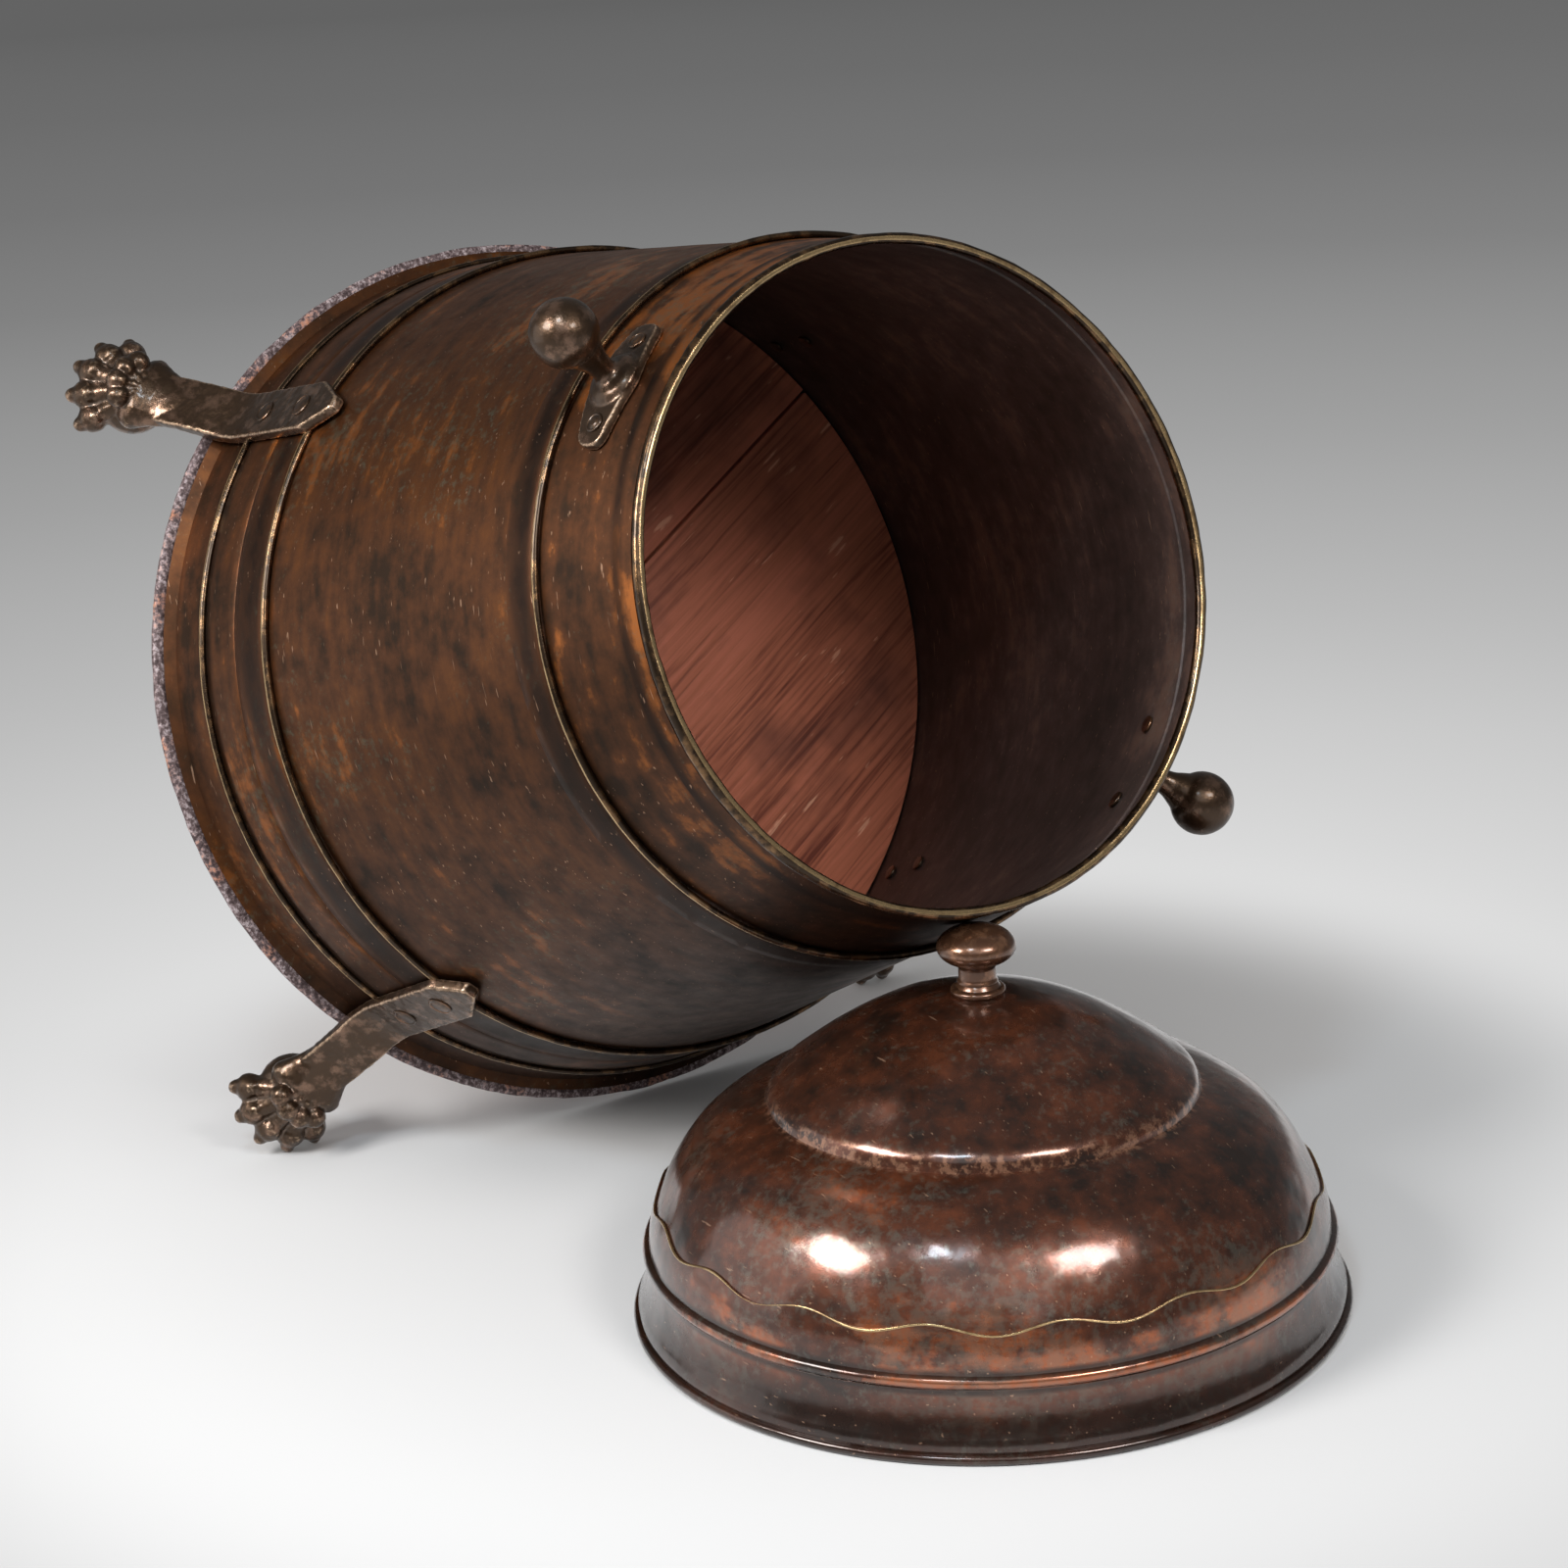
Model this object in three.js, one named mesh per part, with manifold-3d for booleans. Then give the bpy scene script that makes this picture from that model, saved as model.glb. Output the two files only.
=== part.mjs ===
// Copper coal scuttle with a loose domed lid, on four lion-paw feet.
//
// The scuttle lies back on its two lower paws, and the wired rim of its mouth
// rests on the knob of the lid, which stands on the floor in front of it.
// Millimetres, +Z up; +X is the way the mouth faces; the origin lies under the
// middle of the whole arrangement, on the floor.
//
// The bin is built upright on its own axis, in a group that is then tipped over.
// The lid is built upright on its rim.

import * as THREE from 'three';
import { mergeVertices } from 'three/addons/utils/BufferGeometryUtils.js';
import ManifoldModule from 'manifold-3d';

const wasm = await ManifoldModule();
wasm.setup();
const { Manifold, Mesh: ManifoldMesh } = wasm;

// ---------------------------------------------------------------- clearances
const GAP = 0.3; // between pieces that seat on each other
const HOLE_GAP = 0.3; // round a rivet's shank, all the way round
const WIRE_PLAY = 0.2; // extra room between a round wire and the wall it lies on

// ------------------------------------------------------ driving sizes: the bin
const RING_SEGMENTS = 44; // facets round every large turned piece
const RIM_WIRE_SIDES = 5;
const BAND_WIRE_SIDES = 4;

const SHEET = 1.6; // copper sheet of the bin
const MOUTH_RADIUS = 148.5; // outer face of the sheet under the rim wire
const MOUTH_HEIGHT = 349.6; // top edge of the sheet above the base ring
const RIM_WIRE_RADIUS = 2.6;
const HEM_HEIGHT = 12; // folded hem below the rim wire
const HEM_THICKNESS = 0.9;

const UPPER_JOINT_BELOW_MOUTH = 57.6; // upper wire
const UPPER_JOINT_RADIUS = 162.3;
const LOWER_WIRE_TOP_HEIGHT = 91.6;
const LOWER_WIRE_TOP_RADIUS = 203.7;
const LOWER_WIRE_BOTTOM_HEIGHT = 34.8;
const LOWER_WIRE_BOTTOM_RADIUS = 213.2;
const FOOT_OF_WALL_RADIUS = 217; // where the wall turns out into its flange
const FLANGE_WIDTH = 7.5; // the flange turned out over the base ring
const FLANGE_HEIGHT = 10; // height over which the wall turns out

const BAND_THICKNESS = 1.2;
const BAND_WIRE_RADIUS = 1.6;
const UPPER_BAND_WIDTH = 19;

const BASE_RING_BEYOND_FLANGE = 4.5;
const BASE_RING_WIDTH = 37;
const BASE_RING_THICKNESS = 4.5;
const BASE_RING_LIP = 1.2; // hammered-over outer edge

const BOARD_THICKNESS = 22;
const BOARD_PLAY = 0.5; // between the boards and the wall, and between boards
const BOARD_JOINT_OFFSET = -13.4; // joint between the two boards, off the middle
const BOARD_GRAIN_AZIMUTH = 122; // direction of the joint and the grain, degrees

// -------------------------------------------------------- driving sizes: feet
const FOOT_AZIMUTHS = [45, 135, 226, 315]; // set out by eye on the real one
const STRAP_THICKNESS = 6;
const STRAP_WIDTH = 28;
const STRAP_TIP_ABOVE_WIRE = 18.4; // blunt point at the strap's top end, above the wire
const STRAP_TIP_WIDTH = 7;
const STRAP_SHOULDER_ABOVE_WIRE = 0.4; // where the sides turn in towards the point
const INSTEP_THICKNESS = 16; // where the strap runs into the paw
const SOLE_DROP = 54; // sole below the base ring
const PAW_BEYOND_RING = 64; // foremost claw, out from the base ring's edge
const PAW_WIDTH = 55;
const PAD_HEIGHT = 33;
const TOE_COUNT = 5;
const TOE_RADIUS = 7.8;
const TOE_FAN = 62; // outer toes, to either side of straight ahead, degrees
const KNUCKLE_RADIUS = 6.6;
const KNUCKLE_HEIGHT = 27; // above the sole
const CLAW_RADIUS = 3.4;
const CLAW_PROJECTION = 1.5; // beyond the toe
const FOOT_RIVETS_BELOW_WIRE = [44.1, 9.6]; // lower and upper rivet, below the lower band's top wire

// ----------------------------------------------------- driving sizes: handles
const HANDLE_AZIMUTH = 47.5;
const HANDLE_BELOW_MOUTH = 31.6;
const HANDLE_PLATE_THICKNESS = 4;
const HANDLE_PLATE_HALF_LENGTH = 32;
const HANDLE_PLATE_HALF_HEIGHT = 12;
const HANDLE_BALL_RADIUS = 15;
const HANDLE_BALL_DISTANCE = 36; // ball centre from the wall
const HANDLE_NECK_RADIUS = 5.4;
const HANDLE_NECK_DISTANCE = 12; // narrowest place of the neck, from the wall
const HANDLE_RIVET_SPACING = 43;

// ------------------------------------------------------ driving sizes: rivets
const RIVET_HEAD_RADIUS = 6.2;
const RIVET_HEAD_HEIGHT = 1;
const HANDLE_RIVET_HEAD_RADIUS = 4.6;
const RIVET_SHANK_RADIUS = 2.6;
const RIVET_TAIL_RADIUS = 4.6;
const RIVET_TAIL_HEIGHT = 1.1;
const RIVET_SIDES = 8;
const RIVET_HOLE_LENGTH = 40; // long enough to pass through everything on the wall

// ------------------------------------------------------- driving sizes: lid
const LID_SHEET = 1.4;
const LID_RIM_RADIUS = 160.5;
const LIP_HEIGHT = 4.2; // rolled lip at the foot of the skirt
const LIP_WIDTH = 3.4;
const SKIRT_TOP_HEIGHT = 29.7;
const SKIRT_SWEEP_STEPS = [0, 0.25, 0.55, 1]; // shares of the height above the lip
const DOME_EDGE_RADIUS = 150.3; // dome's lower edge, tucked inside the skirt
const DOME_EDGE_HEIGHT = 21; // the ledge that sits on the mouth's wired rim
const BEAD_HEIGHT = 5.2;
const BEAD_PROJECTION = 2.8;
const WAVY_BAND_THICKNESS = 0.9;
const WAVY_BAND_MEAN_HEIGHT = 53;
const WAVE_AMPLITUDE = 2.1;
const WAVE_COUNT = 17;
const WAVE_CREST_AZIMUTH = -26; // one of the crests, degrees
const WAVE_STEPS = 4; // points to each wave
const DOME_SHOULDER = [ // outer face from the wavy band up to the crown: radius, height
    [147.8, 48],
    [142.4, 60],
    [133.5, 74.5],
    [118.0, 88.6],
    [99.4, 96.6],
    [88.0, 100.4],
];
const CROWN_LAP = 2.9; // foot of the crown, out over the dome
const CROWN = [ // outer face of the raised crown: radius, share of its rise above the dome
    [92.6, 0.115],
    [84.0, 0.263],
    [68.0, 0.545],
    [47.0, 0.813],
    [22.0, 0.971],
];
const CROWN_TOP_HEIGHT = 142.2;
const LID_SEGMENTS = 40;

const KNOB_RADIUS = 17.5;
const KNOB_HEIGHT = 18.6;
const KNOB_ABOVE_CROWN = 31.1; // top of the knob above the crown's top
const KNOB_NECK_RADIUS = 7.6;
const KNOB_STUD_RADIUS = 3.6;
const COLLAR_RADIUS = 12.2;
const COLLAR_HEIGHT = 5;
const NUT_RADIUS = 7.5;
const NUT_HEIGHT = 5;
const STUD_BEYOND_NUT = 2.5;

// ------------------------------------------------- driving sizes: arrangement
const LID_OFF_MIDDLE = 17; // the lid stands this far to one side of the mouth's middle
const KNOB_BEHIND_RIM = 2; // the knob's axis, behind the rim's lowest point
const STEEPEST_TILT = 40; // the bin's axis lies between level and this, degrees

// ---------------------------------------------------------------- derived sizes
const FLANGE_RADIUS = FOOT_OF_WALL_RADIUS + FLANGE_WIDTH;
const BASE_RING_RADIUS = FLANGE_RADIUS + BASE_RING_BEYOND_FLANGE;
const PAW_REACH = BASE_RING_RADIUS + PAW_BEYOND_RING;
const UPPER_JOINT_HEIGHT = MOUTH_HEIGHT - UPPER_JOINT_BELOW_MOUTH;
const HANDLE_HEIGHT = MOUTH_HEIGHT - HANDLE_BELOW_MOUTH;
const FOOT_RIVET_HEIGHTS = FOOT_RIVETS_BELOW_WIRE.map((drop) => LOWER_WIRE_TOP_HEIGHT - drop);
const STRAP_TIP_HEIGHT = LOWER_WIRE_TOP_HEIGHT + STRAP_TIP_ABOVE_WIRE;
const STRAP_SHOULDER_HEIGHT = LOWER_WIRE_TOP_HEIGHT + STRAP_SHOULDER_ABOVE_WIRE;
const DOME_START_HEIGHT = SKIRT_TOP_HEIGHT + GAP + BEAD_HEIGHT + GAP; // just above the bead
const KNOB_TOP_HEIGHT = CROWN_TOP_HEIGHT + KNOB_ABOVE_CROWN;
const FAR = 2 * PAW_REACH; // longer than anything that it cuts

// ------------------------------------------------------------------ materials
function metal(color, roughness, metalness = 1) {
    return new THREE.MeshStandardMaterial({ color, roughness, metalness });
}

const patinatedCopper = metal('#4a2c1a', 0.42);
const lidCopper = metal('#6b3a24', 0.36);
const wornWire = metal('#a9824c', 0.34);
const ironRing = metal('#4b3a36', 0.75, 0.8);
const castBronze = metal('#3b2a1c', 0.4);
const boardWood = metal('#6e3a28', 0.72, 0);

// ------------------------------------------------------------ solid utilities
function signedVolume(geometry) {
    const p = geometry.attributes.position;
    const index = geometry.index;
    const [a, b, c] = [new THREE.Vector3(), new THREE.Vector3(), new THREE.Vector3()];
    let sum = 0;
    for (let i = 0; i < index.count; i += 3) {
        a.fromBufferAttribute(p, index.getX(i));
        b.fromBufferAttribute(p, index.getX(i + 1));
        c.fromBufferAttribute(p, index.getX(i + 2));
        sum += a.dot(b.cross(c));
    }
    return sum / 6;
}

// Welds a geometry into one closed skin whose faces look outwards.
function closed(geometry) {
    const bare = new THREE.BufferGeometry();
    bare.setAttribute('position', geometry.attributes.position.clone());
    if (geometry.index) bare.setIndex(geometry.index.clone());
    const welded = mergeVertices(bare, 1e-4);
    const kept = [];
    const index = welded.index.array;
    for (let i = 0; i < index.length; i += 3) {
        const [a, b, c] = [index[i], index[i + 1], index[i + 2]];
        if (a !== b && b !== c && c !== a) kept.push(a, b, c);
    }
    welded.setIndex(kept);
    if (signedVolume(welded) < 0) {
        for (let i = 0; i < kept.length; i += 3) {
            [kept[i + 1], kept[i + 2]] = [kept[i + 2], kept[i + 1]];
        }
        welded.setIndex(kept);
    }
    return welded;
}

function toManifold(geometry) {
    const skin = closed(geometry);
    return new Manifold(new ManifoldMesh({
        numProp: 3,
        vertProperties: new Float32Array(skin.attributes.position.array),
        triVerts: new Uint32Array(skin.index.array),
    }));
}

function fromManifold(manifold) {
    const mesh = manifold.getMesh();
    const geometry = new THREE.BufferGeometry();
    geometry.setAttribute('position', new THREE.BufferAttribute(mesh.vertProperties, 3));
    geometry.setIndex(new THREE.BufferAttribute(mesh.triVerts, 1));
    return geometry;
}

function join(...geometries) {
    return fromManifold(Manifold.union(geometries.map(toManifold)));
}

function cut(geometry, ...cutters) {
    return fromManifold(toManifold(geometry).subtract(Manifold.union(cutters.map(toManifold))));
}

function common(a, b) {
    return fromManifold(toManifold(a).intersect(toManifold(b)));
}

// Revolves a closed outline of [radius, height] points about the Z axis.
function turned(outline, segments) {
    const points = outline.map(([r, z]) => new THREE.Vector2(r, z));
    if (outline[0][0] > 0) points.push(points[0].clone());
    return closed(new THREE.LatheGeometry(points, segments).rotateX(Math.PI / 2));
}

// A wire bent into a ring about the Z axis.
function wireRing(ringRadius, height, wireRadius, sides) {
    const outline = [];
    for (let i = 0; i < sides; i += 1) {
        const angle = (i / sides) * 2 * Math.PI;
        outline.push([ringRadius + wireRadius * Math.cos(angle), height + wireRadius * Math.sin(angle)]);
    }
    return turned(outline, RING_SEGMENTS);
}

// A sheet wall that follows an outer face, given from bottom to top.
function wall(outer, thickness) {
    const inner = outer.map(([r, z]) => [r - thickness, z]).reverse();
    return [...outer, ...inner];
}

function radians(degrees) {
    return THREE.MathUtils.degToRad(degrees);
}

// Radius of a face, given from bottom to top, at a height.
function radiusAt(face, height) {
    for (let i = 0; i + 1 < face.length; i += 1) {
        const [[r0, z0], [r1, z1]] = [face[i], face[i + 1]];
        if (height >= z0 && height <= z1) return r0 + ((r1 - r0) * (height - z0)) / (z1 - z0);
    }
    return height < face[0][1] ? face[0][0] : face[face.length - 1][0];
}

// Height at which a face, given from bottom to top, has a radius.
function heightAt(face, radius) {
    for (let i = 0; i + 1 < face.length; i += 1) {
        const [[r0, z0], [r1, z1]] = [face[i], face[i + 1]];
        if (r0 > r1 && radius <= r0 && radius >= r1) {
            return z0 + ((r0 - radius) * (z1 - z0)) / (r0 - r1);
        }
    }
    return face[face.length - 1][1];
}

function named(name, geometry, material) {
    const mesh = new THREE.Mesh(geometry, material);
    mesh.name = name;
    return mesh;
}

// ------------------------------------------------------------ the bin's walls
const wallBottom = BASE_RING_THICKNESS + GAP;

// Outer face of the bin's sheet, from the flange up to the mouth.
const binFace = [
    [FOOT_OF_WALL_RADIUS, wallBottom + FLANGE_HEIGHT],
    [LOWER_WIRE_BOTTOM_RADIUS, LOWER_WIRE_BOTTOM_HEIGHT],
    [LOWER_WIRE_TOP_RADIUS, LOWER_WIRE_TOP_HEIGHT],
    [UPPER_JOINT_RADIUS, UPPER_JOINT_HEIGHT],
    [MOUTH_RADIUS, MOUTH_HEIGHT],
];

function wallRadius(height) {
    return radiusAt(binFace, height);
}

function wallNormal(height) {
    const step = 1;
    const slope = (wallRadius(height - step) - wallRadius(height + step)) / (2 * step);
    return Math.atan(slope);
}

// Places a geometry, made along +Z with the wall's outer face at z = 0, so that
// it stands square on the wall at a height and an azimuth.
function ontoWall(geometry, height, azimuth) {
    return geometry.clone()
        .rotateY(Math.PI / 2 - wallNormal(height))
        .translate(wallRadius(height), 0, height)
        .rotateZ(radians(azimuth));
}

function rivetHole(height, azimuth) {
    const radius = RIVET_SHANK_RADIUS + HOLE_GAP;
    const hole = new THREE.CylinderGeometry(radius, radius, RIVET_HOLE_LENGTH, RIVET_SIDES)
        .rotateX(Math.PI / 2);
    return ontoWall(hole, height, azimuth);
}

const handleAzimuths = [HANDLE_AZIMUTH, HANDLE_AZIMUTH + 180];
const handleRivetTurn = THREE.MathUtils.radToDeg(
    HANDLE_RIVET_SPACING / 2 / (wallRadius(HANDLE_HEIGHT) + HANDLE_PLATE_THICKNESS),
);

function allRivetHoles() {
    const holes = [];
    for (const azimuth of FOOT_AZIMUTHS) {
        for (const height of FOOT_RIVET_HEIGHTS) holes.push(rivetHole(height, azimuth));
    }
    for (const azimuth of handleAzimuths) {
        for (const side of [-1, 1]) holes.push(rivetHole(HANDLE_HEIGHT, azimuth + side * handleRivetTurn));
    }
    return holes;
}

function bodyShell() {
    const hemStart = MOUTH_HEIGHT - HEM_HEIGHT;
    const outline = [
        [FLANGE_RADIUS, wallBottom],
        [FLANGE_RADIUS, wallBottom + SHEET],
        [FOOT_OF_WALL_RADIUS + FLANGE_WIDTH / 4, wallBottom + 0.4 * FLANGE_HEIGHT],
        ...binFace.slice(0, -1),
        [wallRadius(hemStart), hemStart],
        [wallRadius(hemStart) + HEM_THICKNESS, hemStart + HEM_THICKNESS],
        [MOUTH_RADIUS + HEM_THICKNESS, MOUTH_HEIGHT],
        ...[...binFace].reverse().map(([r, z]) => [r - SHEET, z]),
        [FOOT_OF_WALL_RADIUS - SHEET / 2, wallBottom + 0.4 * FLANGE_HEIGHT],
        [FOOT_OF_WALL_RADIUS, wallBottom],
    ];
    return cut(turned(outline, RING_SEGMENTS), ...allRivetHoles());
}

function mouthRimWire() {
    const height = MOUTH_HEIGHT + GAP + RIM_WIRE_RADIUS;
    return wireRing(MOUTH_RADIUS - SHEET / 2, height, RIM_WIRE_RADIUS, RIM_WIRE_SIDES);
}

// A flat strip that lies round the wall between two heights.
function wallBand(bottom, top) {
    const seat = (z) => [wallRadius(z) + GAP, z];
    const outer = ([r, z]) => [r + BAND_THICKNESS, z];
    return turned([seat(bottom), outer(seat(bottom)), outer(seat(top)), seat(top)], RING_SEGMENTS);
}

function bandWire(height) {
    const ringRadius = wallRadius(height) + GAP + WIRE_PLAY + BAND_WIRE_RADIUS;
    return wireRing(ringRadius, height, BAND_WIRE_RADIUS, BAND_WIRE_SIDES);
}

const bandClear = BAND_WIRE_RADIUS + GAP;

function upperBand() {
    const top = UPPER_JOINT_HEIGHT - bandClear;
    return wallBand(top - UPPER_BAND_WIDTH, top);
}

function lowerBand() {
    const bottom = LOWER_WIRE_BOTTOM_HEIGHT + bandClear;
    const top = LOWER_WIRE_TOP_HEIGHT - bandClear;
    const holes = FOOT_AZIMUTHS.flatMap((azimuth) => (
        FOOT_RIVET_HEIGHTS.map((height) => rivetHole(height, azimuth))
    ));
    return cut(wallBand(bottom, top), ...holes);
}

function baseRing() {
    const inner = BASE_RING_RADIUS - BASE_RING_WIDTH;
    return turned([
        [inner, 0],
        [BASE_RING_RADIUS - BASE_RING_LIP, 0],
        [BASE_RING_RADIUS, BASE_RING_LIP],
        [BASE_RING_RADIUS, BASE_RING_THICKNESS],
        [inner, BASE_RING_THICKNESS],
    ], RING_SEGMENTS);
}

function floorBoard(near, far) {
    const radius = wallRadius(wallBottom + BOARD_THICKNESS) - SHEET - BOARD_PLAY;
    const disc = new THREE.CylinderGeometry(radius, radius, BOARD_THICKNESS, RING_SEGMENTS)
        .rotateX(Math.PI / 2)
        .translate(0, 0, wallBottom + BOARD_THICKNESS / 2);
    const span = new THREE.BoxGeometry(far - near, 3 * radius, 3 * BOARD_THICKNESS)
        .translate((far + near) / 2, 0, 0)
        .rotateZ(radians(BOARD_GRAIN_AZIMUTH - 90));
    return common(disc, span);
}

function floorBoards() {
    const reach = 2 * FOOT_OF_WALL_RADIUS;
    const joint = BOARD_JOINT_OFFSET;
    return [
        named('floor_board_upper', floorBoard(-reach, joint - BOARD_PLAY / 2), boardWood),
        named('floor_board_lower', floorBoard(joint + BOARD_PLAY / 2, reach), boardWood),
    ];
}

// ------------------------------------------------------------------- the feet
// One foot, made at azimuth 0: a riveted strap that lies on the wall, swings out
// past the base ring's edge and runs, thickening, into a cast paw.
function strapSide() {
    const seat = (height, out = 0) => [wallRadius(height) + 2 * GAP + BAND_THICKNESS + out, height];
    const leave = LOWER_WIRE_BOTTOM_HEIGHT - 2 * BAND_WIRE_RADIUS; // parts from the wall here
    const [leaveRadius] = seat(leave);
    const edge = BASE_RING_RADIUS + 2 * GAP;
    const edgeHeight = BASE_RING_THICKNESS + 2 * GAP;
    const bendHeight = (leave + edgeHeight) / 2;
    const heel = [edge + 0.3 * PAW_BEYOND_RING, -0.38 * SOLE_DROP];
    const instep = [heel[0] + INSTEP_THICKNESS, heel[1] + 0.2 * INSTEP_THICKNESS];

    const side = new THREE.Shape(); // radius to the right, height up
    side.moveTo(...seat(STRAP_TIP_HEIGHT));
    side.lineTo(...seat(LOWER_WIRE_TOP_HEIGHT));
    side.lineTo(...seat(leave));
    side.quadraticCurveTo(leaveRadius + 0.2 * (edge - leaveRadius), bendHeight, edge, edgeHeight);
    side.quadraticCurveTo(edge + 0.4 * (heel[0] - edge), 0.15 * heel[1], ...heel);
    side.lineTo(...instep);
    side.quadraticCurveTo(
        edge + 1.8 * STRAP_THICKNESS, edgeHeight - STRAP_THICKNESS / 2,
        edge + 0.7 * STRAP_THICKNESS, edgeHeight + STRAP_THICKNESS,
    );
    side.quadraticCurveTo(
        leaveRadius + 1.4 * STRAP_THICKNESS, bendHeight + STRAP_THICKNESS / 2,
        ...seat(leave, STRAP_THICKNESS),
    );
    side.lineTo(...seat(LOWER_WIRE_TOP_HEIGHT, STRAP_THICKNESS));
    side.lineTo(...seat(STRAP_TIP_HEIGHT, STRAP_THICKNESS));
    side.closePath();
    return side;
}

// Outline of the strap seen square on: its top end comes to a blunt point.
function strapFront() {
    const half = STRAP_WIDTH / 2;
    const tip = STRAP_TIP_WIDTH / 2;
    const front = new THREE.Shape();
    front.moveTo(-tip, STRAP_TIP_HEIGHT);
    front.lineTo(-half, STRAP_SHOULDER_HEIGHT);
    front.lineTo(-half, -SOLE_DROP);
    front.lineTo(half, -SOLE_DROP);
    front.lineTo(half, STRAP_SHOULDER_HEIGHT);
    front.lineTo(tip, STRAP_TIP_HEIGHT);
    front.closePath();
    return front;
}

function strap() {
    const slab = new THREE.ExtrudeGeometry(strapSide(), {
        depth: 2 * STRAP_WIDTH, bevelEnabled: false, curveSegments: 4,
    }).rotateX(Math.PI / 2).translate(0, STRAP_WIDTH, 0);
    const outline = new THREE.ExtrudeGeometry(strapFront(), { depth: FAR, bevelEnabled: false })
        .rotateX(Math.PI / 2)
        .rotateZ(Math.PI / 2);
    return common(slab, outline);
}

// A rounded bar between two points, widened sideways.
function roundedBar(from, to, radius, widen = 1) {
    const [start, end] = [new THREE.Vector3(...from), new THREE.Vector3(...to)];
    const along = end.clone().sub(start);
    const across = new THREE.Vector3(0, 1, 0).cross(along).cross(along).normalize();
    const basis = new THREE.Matrix4().makeBasis(
        across, along.clone().normalize(), across.clone().cross(along).normalize(),
    );
    const middle = start.add(end).multiplyScalar(0.5);
    return new THREE.CapsuleGeometry(radius, along.length(), 2, 6)
        .scale(widen, 1, 1)
        .applyMatrix4(basis)
        .translate(middle.x, middle.y, middle.z);
}

function ellipsoid(centre, radii, around, rows) {
    return new THREE.SphereGeometry(1, around, rows).scale(...radii).translate(...centre);
}

// A short claw that points straight out of a toe.
function claw(angle, root) {
    const length = TOE_RADIUS + CLAW_PROJECTION;
    return new THREE.ConeGeometry(CLAW_RADIUS, length, 5)
        .rotateZ(-Math.PI / 2)
        .translate(length / 2, 0, 0)
        .rotateZ(angle)
        .translate(...root);
}

// The toes fan out round one point over the pad; knuckles lie between and behind them.
function paw() {
    const fan = (PAW_WIDTH / 2 - TOE_RADIUS) / Math.sin(radians(TOE_FAN));
    const hub = PAW_REACH - CLAW_PROJECTION - TOE_RADIUS - fan;
    const place = (angle, share, height) => [
        hub + share * fan * Math.cos(angle), share * fan * Math.sin(angle), height - SOLE_DROP,
    ];
    const step = radians((2 * TOE_FAN) / (TOE_COUNT - 1));

    const half = STRAP_WIDTH / 2;
    const ankle = [BASE_RING_RADIUS + 0.25 * PAW_BEYOND_RING, 0, -0.22 * SOLE_DROP];
    const pieces = [
        roundedBar(ankle, place(0, 0, KNUCKLE_HEIGHT), 0.55 * half, 1 / 0.55),
        ellipsoid(place(0, 0, PAD_HEIGHT / 2 - 2), [fan, PAW_WIDTH / 2 - 4, PAD_HEIGHT / 2], 12, 6),
    ];
    for (let i = 0; i < TOE_COUNT; i += 1) {
        const angle = i * step - radians(TOE_FAN);
        const tip = place(angle, 1, TOE_RADIUS - 1);
        pieces.push(roundedBar(place(angle, 0.45, 0.8 * KNUCKLE_HEIGHT), tip, TOE_RADIUS));
        pieces.push(claw(angle, place(angle, 1, CLAW_RADIUS)));
        if (i > 0) {
            const between = place(angle - step / 2, 0.5, KNUCKLE_HEIGHT);
            pieces.push(ellipsoid(between, [KNUCKLE_RADIUS, KNUCKLE_RADIUS, KNUCKLE_RADIUS], 6, 4));
        }
    }
    return join(...pieces);
}

// Clears the strap over a band wire that it crosses.
function wireGroove(height) {
    const width = 2 * (BAND_WIRE_RADIUS + 2 * GAP);
    const depth = 2 * BAND_WIRE_RADIUS + WIRE_PLAY + 2 * GAP;
    return ontoWall(new THREE.BoxGeometry(width, 2 * STRAP_WIDTH, 2 * depth), height, 0);
}

function foot() {
    const below = new THREE.BoxGeometry(FAR, FAR, FAR).translate(0, 0, -SOLE_DROP - FAR / 2);
    const grooves = [LOWER_WIRE_BOTTOM_HEIGHT, LOWER_WIRE_TOP_HEIGHT].map(wireGroove);
    const holes = FOOT_RIVET_HEIGHTS.map((height) => rivetHole(height, 0));
    return cut(join(strap(), paw()), below, ...grooves, ...holes);
}

// A rivet through whatever lies on the wall: its flat head bears on the outer
// piece, and its tail is spread against the inside of the sheet.
function rivet(stackHeight, headRadius) {
    const sag = wallRadius(0) * (1 - Math.cos(Math.PI / RING_SEGMENTS));
    const tail = -SHEET - sag - GAP;
    const head = stackHeight + GAP;
    return turned([
        [0, tail - RIVET_TAIL_HEIGHT],
        [RIVET_TAIL_RADIUS, tail - RIVET_TAIL_HEIGHT],
        [RIVET_TAIL_RADIUS, tail],
        [RIVET_SHANK_RADIUS, tail],
        [RIVET_SHANK_RADIUS, head],
        [headRadius, head],
        [headRadius - 1, head + RIVET_HEAD_HEIGHT],
        [0, head + RIVET_HEAD_HEIGHT],
    ], RIVET_SIDES);
}

function feet() {
    const geometry = foot();
    const stack = 2 * GAP + BAND_THICKNESS + STRAP_THICKNESS;
    const meshes = [];
    FOOT_AZIMUTHS.forEach((azimuth, i) => {
        const mesh = named(`paw_foot_${i + 1}`, geometry, castBronze);
        mesh.rotation.z = radians(azimuth);
        meshes.push(mesh);
        FOOT_RIVET_HEIGHTS.forEach((height, k) => {
            const place = ['lower', 'upper'][k];
            const solid = ontoWall(rivet(stack, RIVET_HEAD_RADIUS), height, azimuth);
            meshes.push(named(`foot_${i + 1}_${place}_rivet`, solid, castBronze));
        });
    });
    return meshes;
}

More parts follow.
